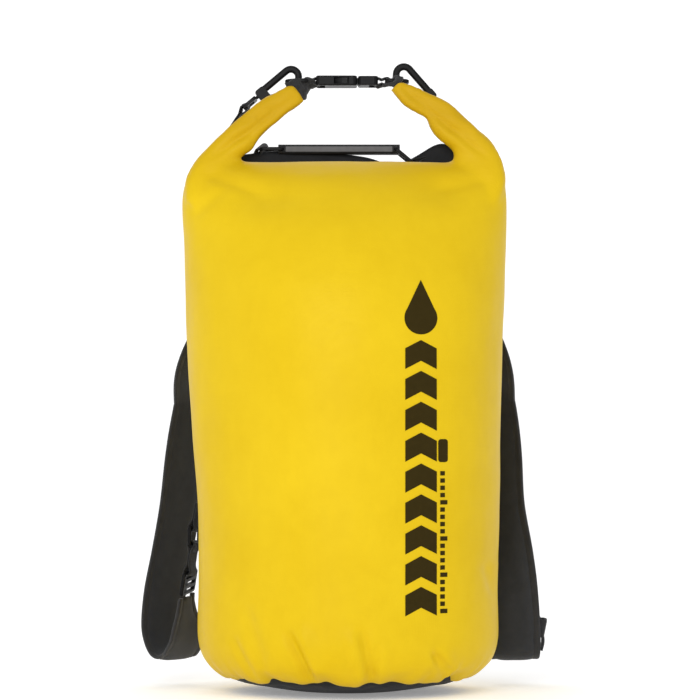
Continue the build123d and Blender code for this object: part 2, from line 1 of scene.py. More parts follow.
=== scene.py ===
"""Looks of the filled roll-top dry sack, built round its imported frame. Lengths below are in mm
until a mesh is made; +Z is up, -Y is the plain front and +Y the harness."""

import json
from math import cos, exp, hypot, pi, radians, sin

import bmesh
import bpy
import numpy as np
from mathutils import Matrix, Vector, noise
from mathutils.bvhtree import BVHTree


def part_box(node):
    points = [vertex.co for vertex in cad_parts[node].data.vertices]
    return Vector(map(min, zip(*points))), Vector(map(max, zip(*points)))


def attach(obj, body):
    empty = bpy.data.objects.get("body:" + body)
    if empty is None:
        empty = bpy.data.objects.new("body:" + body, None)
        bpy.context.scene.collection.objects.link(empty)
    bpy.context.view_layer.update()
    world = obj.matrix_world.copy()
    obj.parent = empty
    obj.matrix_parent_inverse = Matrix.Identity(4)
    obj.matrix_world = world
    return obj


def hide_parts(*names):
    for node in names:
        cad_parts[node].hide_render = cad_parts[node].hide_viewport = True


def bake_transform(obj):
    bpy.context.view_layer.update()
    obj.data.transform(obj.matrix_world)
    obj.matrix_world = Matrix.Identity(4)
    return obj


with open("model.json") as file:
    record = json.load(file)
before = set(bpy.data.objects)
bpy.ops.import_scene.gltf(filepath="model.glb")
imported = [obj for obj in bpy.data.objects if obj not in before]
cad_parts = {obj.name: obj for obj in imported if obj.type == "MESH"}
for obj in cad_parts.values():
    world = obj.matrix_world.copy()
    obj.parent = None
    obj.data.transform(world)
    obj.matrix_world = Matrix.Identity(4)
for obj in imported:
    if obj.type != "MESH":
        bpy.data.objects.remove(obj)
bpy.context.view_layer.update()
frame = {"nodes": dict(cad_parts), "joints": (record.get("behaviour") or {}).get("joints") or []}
nodes = frame["nodes"]
MM = 0.001


# ------------------------ small helpers
def smooth(low, high, value):
    """0 below low, 1 above high, and a soft step between."""
    share = np.clip((value - low) / (high - low), 0, 1)
    return share * share * (3 - 2 * share)


def bump(value, middle, width):
    return np.exp(-(((value - middle) / width) ** 2))


def rough_noise(points, scale, seed=0.0):
    """Signed noise at points in mm."""
    shift = Vector((seed, seed * 0.7, -seed))
    return np.array([noise.noise(Vector(p) / scale + shift) for p in points])


def runs_along(points):
    """Length of a path from its start to each of its points."""
    return np.concatenate([[0], np.cumsum(np.linalg.norm(np.diff(points, axis=0), axis=1))])


def resample(values, count):
    """Catmull-Rom curve through rows of values, sampled evenly along its length."""
    rows = np.array(values, float)
    padded = np.vstack([2 * rows[0] - rows[1], rows, 2 * rows[-1] - rows[-2]])
    fine = []
    for i in range(len(rows) - 1):
        p0, p1, p2, p3 = padded[i : i + 4]
        for t in np.linspace(0, 1, 24, endpoint=False):
            curve = 2 * p1 + (p2 - p0) * t + (2 * p0 - 5 * p1 + 4 * p2 - p3) * t**2
            fine.append(0.5 * (curve + (3 * p1 - p0 - 3 * p2 + p3) * t**3))
    fine.append(rows[-1])
    fine = np.array(fine)
    length = runs_along(fine[:, :3])
    wanted = np.linspace(0, length[-1], count)
    return np.stack([np.interp(wanted, length, fine[:, k]) for k in range(fine.shape[1])], axis=1)


def circle(count):
    """Cosine and sine at count even steps round a circle."""
    return [(cos(2 * pi * k / count), sin(2 * pi * k / count)) for k in range(count)]


def unit(vector):
    vector = np.array(vector, float)
    return vector / max(np.linalg.norm(vector), 1e-9)


def square_to(vector, along):
    """The part of a vector that is square to a direction, as a unit vector."""
    return unit(vector - along * np.dot(vector, along))


def heading(rows, i, closed=False):
    """Unit direction in which rows of points run at row i."""
    last = len(rows) - 1
    before = rows[i - 1] if closed else rows[max(i - 1, 0)]
    after = rows[(i + 1) % len(rows)] if closed else rows[min(i + 1, last)]
    return unit(after[:3] - before[:3])


def shade_smooth(mesh):
    for polygon in mesh.polygons:
        polygon.use_smooth = True


def add_object(name, data):
    item = bpy.data.objects.new(name, data)
    bpy.context.scene.collection.objects.link(item)
    return item


def make_object(name, points, faces, material, uvs=None):
    """Mesh object from points in mm, with shared UVs in metres where given."""
    mesh = bpy.data.meshes.new(name)
    mesh.from_pydata([tuple(float(c) * MM for c in p) for p in points], [], faces)
    mesh.validate()
    mesh.materials.append(material)
    if uvs is not None:
        layer = mesh.uv_layers.new(name="UVMap")
        for loop in mesh.loops:
            layer.data[loop.index].uv = uvs[loop.vertex_index]
    shade_smooth(mesh)
    return add_object(name, mesh)


def pick(items):
    bpy.ops.object.select_all(action="DESELECT")
    for item in items:
        item.select_set(True)
    bpy.context.view_layer.objects.active = items[0]


def join_parts(name, items):
    """Several mesh objects made into one piece."""
    pick(items)
    bpy.ops.object.join()
    items[0].name = name
    return items[0]


def apply_modifiers(item):
    pick([item])
    for modifier in list(item.modifiers):
        bpy.ops.object.modifier_apply(modifier=modifier.name)


def add_skin(item, voxel):
    """Modifier that makes one even skin out of everything in the piece."""
    remesh = item.modifiers.new("skin", "REMESH")
    remesh.mode = "VOXEL"
    remesh.voxel_size = voxel


def divide_once(item):
    item.modifiers.new("finer", "SUBSURF").levels = 1
    apply_modifiers(item)


def face_outward(item, weld=False):
    """Turns every face outward, after joining points that coincide where weld is set."""
    bm = bmesh.new()
    bm.from_mesh(item.data)
    if weld:
        bmesh.ops.remove_doubles(bm, verts=bm.verts, dist=1e-6)
    bmesh.ops.recalc_face_normals(bm, faces=bm.faces)
    bm.to_mesh(item.data)
    bm.free()
    return item


def finish_piece(item, slot, body, other=None, start=None, end=None, replaced=()):
    """Slot of a piece, which is not used, the CAD nodes it stands in for, which are hidden, and the body it
    rides on.

    With other, its fabric crosses a joint, and it is baked in place on no body; start and end, in mm, are
    not used.
    """
    if replaced:
        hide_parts(*replaced)
    if other:
        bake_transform(item)
    else:
        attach(item, body)


def vertex_values(item, kind):
    flat = np.empty(len(item.data.vertices) * 3)
    item.data.vertices.foreach_get(kind, flat)
    return flat.reshape(-1, 3)


def points_of(item):
    return vertex_values(item, "co") / MM


def normals_of(item):
    return vertex_values(item, "normal")


def set_points(item, points):
    item.data.vertices.foreach_set("co", (points * MM).ravel())
    item.data.update()


def tube_faces(rows, ring, closed=False, capped=True, first=0):
    """Quads between rows of rings of points, with a face over each end where capped."""
    faces = []
    for i in range(rows if closed else rows - 1):
        j = (i + 1) % rows
        for k in range(ring):
            m = (k + 1) % ring
            faces.append((i * ring + k, i * ring + m, j * ring + m, j * ring + k))
    if capped and not closed:
        faces.append(tuple(reversed(range(ring))))
        faces.append(tuple((rows - 1) * ring + k for k in range(ring)))
    return [tuple(first + corner for corner in face) for face in faces]


def sheet_faces(wide, tall):
    """Faces of a closed sheet: two grids of points, one after the other, and the edge between."""
    total = wide * tall
    faces = []
    for j in range(tall - 1):
        for i in range(wide - 1):
            a = j * wide + i
            faces.append((a, a + 1, a + 1 + wide, a + wide))
            faces.append((total + a, total + a + wide, total + a + 1 + wide, total + a + 1))
    border = list(range(wide))
    border += [j * wide + wide - 1 for j in range(1, tall)]
    border += [(tall - 1) * wide + i for i in range(wide - 2, -1, -1)]
    border += [j * wide for j in range(tall - 2, 0, -1)]
    for a, b in zip(border, border[1:] + border[:1]):
        faces.append((a, b, total + b, total + a))
    return faces


def sweep(name, frames, profile, material, closed=False):
    """Profile of (across, out) points carried along frames of (origin, across, out, width, thick).

    UVs run along the sweep and round the profile, in metres, so that weaves keep their size.
    """
    points, uvs = [], []
    run = 0.0
    for i, (origin, across, out, width, thick) in enumerate(frames):
        if i:
            run += np.linalg.norm(np.array(origin) - np.array(frames[i - 1][0])) * MM
        for s, h in profile:
            points.append(np.array(origin) + across * (s * width) + out * (h * thick))
            uvs.append((run, s * width * MM))
    faces = tube_faces(len(frames), len(profile), closed)
    return face_outward(make_object(name, points, faces, material, uvs))


def frames_on(rows, width, thick, closed=False):
    """Frames at rows of (point, across); width and thick may be functions of the run 0..1."""
    frames = []
    for i, row in enumerate(rows):
        along = heading(rows, i, closed)
        across = square_to(row[3:6], along)
        share = i / (len(rows) - 1)
        size = [value(share) if callable(value) else value for value in (width, thick)]
        frames.append((row[:3], across, np.cross(across, along), *size))
    return frames


def path_frames(path, count, width, thick):
    """Frames evenly along a path of (point, across)."""
    return frames_on(resample([(*p, *unit(a)) for p, a in path], count), width, thick)


def band_profile(edge=0.5, steps=9):
    """Flat band with rounded edges: unit width, unit thickness."""
    upper = []
    for s in np.linspace(-1, 1, steps):
        upper.append((s * 0.5, 0.5 * (1 - edge * abs(s) ** 10)))
    lower = [(s, -h) for s, h in reversed(upper)]
    return upper + lower


def puffed_profile(rim=0.3, steps=21):
    """Padded strap: full in the middle, pinched to a flat bound rim at each edge."""
    upper = []
    for s in np.linspace(-1, 1, steps):
        crown = (1 - abs(s / 0.84) ** 3.2) if abs(s) < 0.84 else 0
        upper.append((s * 0.5, 0.5 * (rim + (1 - rim) * max(crown, 0) ** 0.6)))
    lower = [(s, -h * 0.9) for s, h in reversed(upper)]
    return upper + lower


# ------------------------ materials
class Shader:
    """A principled material whose nodes are added one by one."""

    def __init__(self, name, color, roughness, specular=0.5):
        self.material = bpy.data.materials.new(name)
        self.material.use_nodes = True
        self.tree = self.material.node_tree
        self.main = self.tree.nodes["Principled BSDF"]
        self.main.inputs["Base Color"].default_value = (*color, 1)
        self.main.inputs["Roughness"].default_value = roughness
        self.main.inputs["Specular IOR Level"].default_value = specular
        self.coords = self.tree.nodes.new("ShaderNodeTexCoord")
        self.height = None

    def node(self, kind, values=None, links=None, **settings):
        item = self.tree.nodes.new(kind)
        for key, value in settings.items():
            setattr(item, key, value)
        for key, value in (values or {}).items():
            item.inputs[key].default_value = value
        for key, source in (links or {}).items():
            self.tree.links.new(source, item.inputs[key])
        return item

    def space(self, name="Object", scale=(1, 1, 1), turn=(0, 0, 0)):
        mapping = self.node("ShaderNodeMapping", links={"Vector": self.coords.outputs[name]})
        mapping.inputs["Scale"].default_value = scale
        mapping.inputs["Rotation"].default_value = turn
        return mapping.outputs["Vector"]

    def noise(self, scale, detail=3.0, where=None, rough=0.55):
        return self.node(
            "ShaderNodeTexNoise",
            {"Scale": scale, "Detail": detail, "Roughness": rough},
            {"Vector": where or self.coords.outputs["Object"]},
        ).outputs["Fac"]

    def wave(self, scale, where, direction="X"):
        return self.node(
            "ShaderNodeTexWave",
            {"Scale": scale, "Detail": 1.0},
            {"Vector": where},
            wave_type="BANDS",
            bands_direction=direction,
            wave_profile="SIN",
        ).outputs["Fac"]

    def math(self, operation, a, b):
        item = self.node("ShaderNodeMath", operation=operation)
        for index, value in enumerate((a, b)):
            if isinstance(value, (int, float)):
                item.inputs[index].default_value = value
            else:
                self.tree.links.new(value, item.inputs[index])
        return item.outputs[0]

    def weigh(self, first, first_share, second, second_share):
        """Sum of two values, each times its share."""
        return self.math(
            "ADD", self.math("MULTIPLY", first, first_share), self.math("MULTIPLY", second, second_share)
        )

    def ramp(self, source, low, high):
        """Maps 0..1 to low..high."""
        item = self.node("ShaderNodeMapRange", {"To Min": low, "To Max": high}, {"Value": source})
        return item.outputs["Result"]

    def stretch(self, source, low, high):
        """Maps low..high to 0..1."""
        item = self.node("ShaderNodeMapRange", {"From Min": low, "From Max": high}, {"Value": source})
        return item.outputs["Result"]

    def mix(self, share, first, second):
        """Colour between two, each a colour or a socket."""
        item = self.node("ShaderNodeMix", data_type="RGBA")
        self.tree.links.new(share, item.inputs["Factor"])
        for slot, value in ((6, first), (7, second)):
            if isinstance(value, tuple):
                item.inputs[slot].default_value = (*value, 1)
            else:
                self.tree.links.new(value, item.inputs[slot])
        return item.outputs[2]

    def color(self, source):
        self.tree.links.new(source, self.main.inputs["Base Color"])

    def roughness(self, source):
        self.tree.links.new(source, self.main.inputs["Roughness"])

    def relief(self, source, depth, strength=1.0):
        """Adds a layer of bump, depth in mm."""
        item = self.node(
            "ShaderNodeBump",
            {"Strength": strength, "Distance": depth * MM},
            {"Height": source},
        )
        if self.height is not None:
            self.tree.links.new(self.height, item.inputs["Normal"])
        self.height = item.outputs["Normal"]
        self.tree.links.new(self.height, self.main.inputs["Normal"])


def toned(color, factor, add=0.0):
    return tuple(min(c * factor + add, 1) for c in color)


def coated_fabric(name, color, deep, pale, roughness, grain=0.06, painted_top_shade=None):
    """Coated fabric: fine scrim pressed through the coating, soft creases and uneven sheen.

    The last argument is painted shade: the colour it darkens to at the top of the sack, over the arms of
    the roll.
    """
    s = Shader(name, color, roughness, 0.08)
    share = s.weigh(s.noise(9, 4), 0.75, s.noise(70, 3), 0.25)
    shade = s.mix(s.stretch(share, 0.33, 0.67), deep, pale)
    # painted shade: the colour darkens towards the top of the sack, from 0.49 m up to 0.57 m
    if painted_top_shade:
        height = s.node("ShaderNodeSeparateXYZ", links={"Vector": s.space()}).outputs["Z"]
        shade = s.mix(s.stretch(height, 0.49, 0.57), shade, painted_top_shade)
    s.color(shade)
    s.roughness(s.ramp(s.noise(26, 4), roughness - 0.07, roughness + 0.09))
    warp = s.wave(250, s.space(), "X")
    weft = s.wave(250, s.space(), "Z")
    side = s.wave(250, s.space(), "Y")
    scrim = s.math("MULTIPLY", s.math("ADD", warp, side), weft)
    s.relief(s.noise(14, 5, rough=0.5), 1.1, 0.35)
    s.relief(s.noise(1500, 2), 0.05, 0.5)
    s.relief(scrim, grain, 0.7)
    return s.material


def woven(name, color, pitch, roughness=0.72, depth=0.22, twill=True, lift=1.9):
    """Webbing and woven nylon, patterned along the piece's own run and width."""
    s = Shader(name, color, roughness, 0.35)
    bands = 2 * pi / (20 * pitch * MM)
    run = s.wave(bands, s.space("UV"), "X")
    wide = s.wave(bands * 1.15, s.space("UV"), "Y")
    if twill:
        slant = s.wave(bands, s.space("UV", turn=(0, 0, radians(45))), "X")
        threads = s.math("MULTIPLY", s.math("ADD", run, slant), wide)
    else:
        threads = s.math("MULTIPLY", run, wide)
    share = s.weigh(threads, 0.35, s.noise(90, 3), 0.75)
    s.color(s.mix(s.math("SUBTRACT", share, 0.2), toned(color, 0.75), toned(color, lift)))
    s.roughness(s.ramp(s.noise(60, 3), roughness - 0.08, roughness + 0.1))
    s.relief(threads, depth, 0.8)
    s.main.inputs["Sheen Weight"].default_value = 0.12
    s.main.inputs["Sheen Roughness"].default_value = 0.5
    return s.material


def moulded(name, color, roughness=0.4, lift=2.2):
    """Moulded plastic: spark grain, slight flow marks and edges rubbed a little paler."""
    s = Shader(name, color, roughness, 0.1)
    geometry = s.node("ShaderNodeNewGeometry")
    rub = s.stretch(geometry.outputs["Pointiness"], 0.53, 0.62)
    worn = s.math("MULTIPLY", rub, s.ramp(s.noise(220, 3), 0.1, 0.9))
    base = s.mix(s.noise(45, 3), toned(color, 0.85), toned(color, 1.2))
    s.color(s.mix(worn, base, toned(color, lift, 0.008)))
    s.roughness(s.ramp(s.noise(120, 3), roughness - 0.06, roughness + 0.1))
    s.relief(s.noise(60, 2), 0.12, 0.3)
    s.relief(s.noise(2600, 2), 0.03, 0.5)
    return s.material


def open_mesh(name, color):
    """Spacer mesh: rows of small round holes in a knitted face."""
    s = Shader(name, color, 0.8, 0.3)
    cells = s.node(
        "ShaderNodeTexVoronoi",
        {"Scale": 330.0, "Randomness": 0.12},
        {"Vector": s.space("Object", (1, 0.35, 1))},
        feature="F1",
    ).outputs["Distance"]
    hole = s.stretch(cells, 0.18, 0.42)
    knit = s.noise(900, 2)
    # painted shade: the holes are coloured near black, as shade down in them
    tone = s.math("MULTIPLY", hole, s.ramp(knit, 0.6, 1.0))
    s.color(s.mix(tone, (0.006, 0.006, 0.007), toned(color, 1.5)))
    s.relief(hole, 0.5, 0.8)
    s.relief(knit, 0.12, 0.5)
    s.main.inputs["Sheen Weight"].default_value = 0.15
    return s.material


BLACK = (0.0145, 0.0155, 0.0175)
yellow = coated_fabric(
    "tarpaulin_yellow", (0.65, 0.442, 0.006), (0.625, 0.418, 0.005), (0.68, 0.468, 0.008), 0.42,
    # painted shade over the arms of the roll, at the top of the sack
    painted_top_shade=(0.5, 0.3, 0.006),
)
black_coated = coated_fabric(
    "tarpaulin_black", BLACK, (0.0125, 0.0132, 0.015), (0.021, 0.022, 0.0245), 0.5, 0.1
)
webbing_black = woven("webbing_black", BLACK, 1.6)
binding_black = woven("grosgrain_black", (0.015, 0.015, 0.016), 1.2, 0.78, 0.18, twill=False)
strap_fabric = woven("strap_nylon", (0.0175, 0.0186, 0.0212), 1.1, 0.8, 0.16, twill=False, lift=1.7)
pad_mesh = open_mesh("spacer_mesh", (0.024, 0.024, 0.026))
plastic = moulded("acetal_black", (0.005, 0.005, 0.0054), 0.36)
soft_rubber = moulded("grip_rubber", (0.016, 0.016, 0.017), 0.55, 1.6)
grey_rubber = moulded("grip_insert_grey", (0.098, 0.098, 0.102), 0.6, 1.5)


def steel_material():
    s = Shader("pin_steel", (0.52, 0.52, 0.53), 0.32)
    s.main.inputs["Metallic"].default_value = 1
    s.relief(s.noise(1800, 2, s.space("Object", (1, 0.05, 1))), 0.02, 0.6)
    s.roughness(s.ramp(s.noise(700, 2), 0.24, 0.4))
    return s.material


def ink_material():
    s = Shader("print_ink", (0.03, 0.02, 0.003), 0.5, 0.05)
    s.color(s.mix(s.noise(160, 4), (0.025, 0.0165, 0.002), (0.034, 0.023, 0.004)))
    s.relief(s.noise(1500, 2), 0.05, 0.5)
    s.relief(s.noise(14, 5, rough=0.5), 1.1, 0.35)
    return s.material


def thread_material():
    s = Shader("thread_black", (0.03, 0.03, 0.032), 0.6)
    s.color(s.mix(s.noise(400, 2), (0.02, 0.02, 0.021), (0.05, 0.05, 0.052)))
    s.relief(s.wave(420, s.space(turn=(0.5, 0.3, 0.6)), "X"), 0.06, 0.6)
    return s.material


steel = steel_material()
ink = ink_material()
thread = thread_material()

HARDWARE = {"handle_insert": grey_rubber, "handle_grip": soft_rubber, "gate_pin": steel}
for node_name in nodes:
    chosen = next((m for ending, m in HARDWARE.items() if node_name.endswith(ending)), plastic)
    mesh = nodes[node_name].data
    if not mesh.materials:
        mesh.materials.append(chosen)
    for index in range(len(mesh.materials)):
        mesh.materials[index] = chosen

# ------------------------ the yellow sack
# z, middle x, half width, half depth, middle y: a hem rolled in over the base, a filled barrel
# that leans a little, and flat shoulders.
LEVELS = [
    (20, 0.5, 107, 107, 0), (15, 0.5, 113, 113, 0), (12, 0.5, 117, 117, 0),
    (13, 0.5, 121.5, 121.5, 0), (16.4, 0.5, 128.5, 128.5, 0), (21.4, 0.7, 135, 135, 0),
    (27.6, 1, 141, 141, 0), (37, 1.2, 146.6, 146.2, 0), (49, 1.3, 149.6, 149.6, 0),
    (64, 1.4, 150.4, 150.2, 0), (110, 1.3, 149.4, 149.5, 0), (170, 1.8, 150.4, 150.5, 0),
    (210, 1.1, 151.9, 151.5, 0), (250, -0.3, 153.8, 152, 0), (300, -1.5, 156.1, 152, 0),
    (350, -2.1, 158.1, 149, 0), (390, -1.9, 159.7, 142, 0), (420, -1.9, 160.6, 131, 0),
    (450, -1.9, 161.5, 113, -2), (475, -2.2, 162.4, 90, -6), (495, -2, 161.9, 66, -10),
    (508, -1.2, 158.4, 46, -14), (516, -1.4, 150, 30, -18), (522.5, -1, 130, 17, -20),
    (526, 0, 104, 9, -20),
]
# outer and inner edge of each arm of the roll, from the shoulder to its tip, and half its depth
ARMS = {
    "left": [
        ((-161, 488), (-120, 468), 26), ((-160.5, 508), (-119, 498), 19), ((-151, 527), (-114.5, 519), 13),
        ((-139, 541), (-105, 531.5), 10), ((-128, 552), (-94, 538), 10), ((-112, 566), (-88.5, 549), 9),
        ((-96, 578.5), (-75, 562), 8.8), ((-82, 590), (-61.5, 573.5), 8.2), ((-70, 597), (-51.5, 579), 7.6),
        ((-60.5, 602), (-44.5, 584.5), 7), ((-54, 604.5), (-41, 587), 6),
    ],
    "right": [
        ((154, 488), (106, 468), 26), ((159, 508), (108, 498), 19), ((155, 530), (107, 521), 13),
        ((146, 546), (104, 538.5), 10.5), ((133, 558), (92.5, 547), 10), ((121, 568), (83.5, 557), 9.5),
        ((108, 580), (81, 569), 9), ((94, 588.5), (70, 576), 8.5), ((77.5, 596), (57, 582.5), 8),
        ((64, 602.5), (50, 589.5), 7.6), ((53, 608), (42.5, 598), 6.8),
    ],
}
ARM_Y = -20
VOXEL = 0.0036
FRAMES = 20  # length of the cloth simulation


def sack_solid():
    """Closed rough form of the barrel and the two arms of the roll, as one voxel skin."""
    around = circle(144)
    # the resample measures length on the first three columns: z, middle, half width
    rows = resample(LEVELS, 150)
    points = []
    for z, middle, half, depth, behind in rows:
        points += [(middle + half * c, behind + depth * s, z) for c, s in around]
    parts = [make_object("barrel", points, tube_faces(len(rows), len(around)), yellow)]

    ring = circle(28)
    for side, arm in ARMS.items():
        rows = resample([(*outer, *inner, depth) for outer, inner, depth in arm], 46)
        points = []
        for ox, oz, ix, iz, depth in rows:
            middle = np.array(((ox + ix) / 2, ARM_Y, (oz + iz) / 2))
            half = np.array(((ox - ix) / 2, 0, (oz - iz) / 2))
            for c, s in ring:
                flat = abs(c) ** 0.62 * (1 if c > 0 else -1)
                deep = abs(s) ** 0.8 * (1 if s > 0 else -1)
                points.append(middle + half * flat + np.array((0, depth * deep, 0)))
        parts.append(make_object(f"arm_{side}", points, tube_faces(len(rows), len(ring)), yellow))

    body = join_parts("sack", [face_outward(part) for part in parts])
    add_skin(body, VOXEL)
    relax = body.modifiers.new("relax", "SMOOTH")
    relax.iterations = 5
    relax.factor = 0.5
    apply_modifiers(body)
    divide_once(body)
    shade_smooth(body.data)
    return body


def inflate(item, held, pressure, cap, voxel=0.0045):
    """Blows a closed piece of padding up a little by a cloth simulation, then divides it once.

    held(points) gives how firmly each point is sewn down; no point moves more than cap, in mm.
    """
    add_skin(item, voxel)
    apply_modifiers(item)
    before = points_of(item)
    group = item.vertex_groups.new(name="sewn")
    for index, weight in enumerate(held(before)):
        group.add([index], float(weight), "REPLACE")
    cloth = item.modifiers.new("padding", "CLOTH")
    cloth.settings.quality = 6
    cloth.settings.mass = 0.2
    cloth.settings.use_pressure = True
    cloth.settings.uniform_pressure_force = pressure
    cloth.settings.vertex_group_mass = "sewn"
    cloth.settings.effector_weights.gravity = 0
    cloth.point_cache.frame_start, cloth.point_cache.frame_end = 1, FRAMES
    for step in range(1, FRAMES + 1):
        bpy.context.scene.frame_set(step)
    after = points_of(item.evaluated_get(bpy.context.evaluated_depsgraph_get()))
    item.modifiers.remove(cloth)
    bpy.context.scene.frame_set(1)
    move = after - before
    reach = np.linalg.norm(move, axis=1)
    print("cloth", item.name, len(before), "points, moved up to", round(float(reach.max()), 2), "mm")
    move *= np.minimum(1, cap / np.maximum(reach, 1e-6))[:, None]
    set_points(item, before + move)
    divide_once(item)
    shade_smooth(item.data)


def crease(x, z, start, end, width, depth, skew=1.0):
    """Sharp valley with a soft roll on one side, along a line in the front view."""
    (x0, z0), (x1, z1) = start, end
    length = hypot(x1 - x0, z1 - z0)
    ux, uz = (x1 - x0) / length, (z1 - z0) / length
    run = (x - x0) * ux + (z - z0) * uz
    off = -(x - x0) * uz + (z - z0) * ux
    ends = smooth(-0.1 * length, 0.25 * length, run) * (1 - smooth(0.7 * length, 1.1 * length, run))
    valley = -np.exp(-((off / width) ** 2))
    roll = 0.75 * np.exp(-(((off - skew * 2.1 * width) / (1.7 * width)) ** 2))
    return depth * ends * (valley + roll)


# folds as seen from the front: start and end (x, z), width, depth, and the side the roll lies on
FRONT_FOLDS = [
    ((-58, 68), (-30, 10), 5, 5, 1), ((14, 70), (26, 10), 5, 4, -1), ((84, 48), (98, 10), 4.5, 3, 1),
    ((-100, 92), (-78, 20), 7, 2.2, 1), ((30, 56), (25, 14), 4, 1.9, 1),
    ((84, 46), (108, 16), 4.2, 2.2, -1), ((-112, 60), (-88, 14), 4.4, 1.8, 1),
    ((136, 130), (146, 96), 5, 2.2, 1),
    ((-140, 512), (-78, 492), 6, 2, 1), ((142, 508), (84, 498), 6, 1.8, -1),
    ((-152, 470), (-118, 500), 6, 1.4, 1),
]
BACK_FOLDS = [
    ((-140, 505), (-84, 478), 6, 2.2, 1), ((140, 505), (84, 478), 6, 2.2, -1),
    ((-120, 60), (-96, 16), 5, 2, 1), ((118, 66), (90, 16), 5, 2, -1),
]
ARM_FOLDS = [
    ((-106, 564), (-68, 583)), ((-118, 546), (-90, 555)), ((-90, 571), (-80, 566)),
    ((66, 592), (106, 573)), ((98, 560), (130, 552)), ((56, 602), (70, 588)),
]


def shape_sack(body):
    """Folds, dents and the puckered hem, all as moves along the skin's normal."""
    points = points_of(body)
    normals = normals_of(body)
    x, y, z = points.T
    front = 1 - smooth(-40, 10, y)
    angle = np.arctan2(y, x)
    move = 1.5 * rough_noise(points * (1, 1, 0.6), 70, 3.1)
    move += 0.35 * rough_noise(points * (1, 1, 0.55), 24, 8.7)

    # puckers where the hem is drawn in over the base
    low = 1 - smooth(12, 46, z)
    wobble = rough_noise(np.stack([angle * 60, z * 0.4, z * 0], axis=1), 9, 5.5)
    ripple = np.sin(angle * 23 + 2.4 * wobble) + 0.6 * np.sin(angle * 41 + 3 * wobble)
    move += low * (0.6 * ripple + 0.9 * wobble)

    # soft hollows where the round barrel flattens into the shoulders
    move -= front * 4.2 * bump(x, -84, 30) * bump(z, 490, 17)
    move -= front * 3.8 * bump(x, 94, 28) * bump(z, 497, 16)
    move += front * 1.6 * bump(x, -40, 42) * bump(z, 506, 12)

    back = smooth(-6, 30, y)
    for where, folds in ((front, FRONT_FOLDS), (back, BACK_FOLDS)):
        for start, end, width, depth, skew in folds:
            move += where * crease(x, z, start, end, width, depth, skew)

    # drag lines that run up each arm, and the edge where its layers lie on one another
    for side, start, end in ((-1, (-146, 520), (-52, 590)), (1, (148, 522), (52, 601))):
        on_arm = smooth(522, 545, z) * (1 - smooth(-1, 1, -side * x))
        lie = rough_noise(points * (0.35, 1, 0.35) + side * 50, 7, 2.2)
        move += on_arm * 0.75 * lie
        move += on_arm * crease(x, z, start, end, 3.4, 2.1, side)
    for start, end in ARM_FOLDS:
        move += smooth(522, 535, z) * crease(x, z, start, end, 4.2, 1.2)
    points = points + normals * move[:, None]

    # the hem's edge rises and falls where it is gathered
    rim = (1 - smooth(12, 30, points[:, 2])) * smooth(103, 113, np.hypot(x, y))
    waves = 0.6 * np.sin(angle * 9 + 1.1) + 0.6 * np.sin(angle * 17 + 2.3 * wobble) + 1.3 * wobble
    for place in (-2.18, -1.76, -1.2, -0.62, 0.2, 1.1, 2.0, 2.9):
        waves = waves + 2.6 * bump(angle, place, 0.07)
    points[:, 2] += rim * (0.4 + 1.4 * waves)
    set_points(body, points)


sack = sack_solid()
shape_sack(sack)
# a slanted line 40 mm long up the right arm, from blend_start to blend_end
blend_start = np.array((0.0, ARM_Y, 580.5))
blend_end = blend_start + 40 * np.array((0.33, 0, 0.944))
finish_piece(sack, "tarpaulin", "bag", "clip_end", blend_start, blend_end,
             replaced=("bag_tube", "rolled_mouth", "rolled_mouth_end"))

bvh_mesh = bmesh.new()
bvh_mesh.from_mesh(sack.data)
skin = BVHTree.FromBMesh(bvh_mesh)


def hit(origin, way):
    """Point and normal where a ray from origin first meets the sack, in mm."""
    place, normal, _, _ = skin.ray_cast(Vector(origin) * MM, Vector(way))
    if place is None:
        return None, None
    return np.array(place) / MM, np.array(normal)


# ------------------------ print on the front
def front_patch(name, outline, lift=0.35, step=2.2):
    """Filled outline in the front view, laid on the sack as a thin film of ink."""
    bm = bmesh.new()
    corners = [bm.verts.new((px, 0, pz)) for px, pz in outline]
    bm.faces.new(corners)
    low, high = np.min(outline, axis=0), np.max(outline, axis=0)
    for index, axis in enumerate(((1, 0, 0), (0, 0, 1))):
        for k in range(1, int(max(high - low) / step) + 1):
            place = Vector(axis) * float(low[index] + k * step)
            geometry = bm.verts[:] + bm.edges[:] + bm.faces[:]
            bmesh.ops.bisect_plane(bm, geom=geometry, plane_co=place, plane_no=axis)
    for vert in bm.verts:
        place, normal = hit((vert.co.x, -400, vert.co.z), (0, 1, 0))
        vert.co = Vector(place + normal * lift)
    mesh = bpy.data.meshes.new(name)
    for vert in bm.verts:
        vert.co *= MM
    bmesh.ops.recalc_face_normals(bm, faces=bm.faces)
    bm.to_mesh(mesh)
    bm.free()
    mesh.materials.append(ink)
    shade_smooth(mesh)
    return add_object(name, mesh)


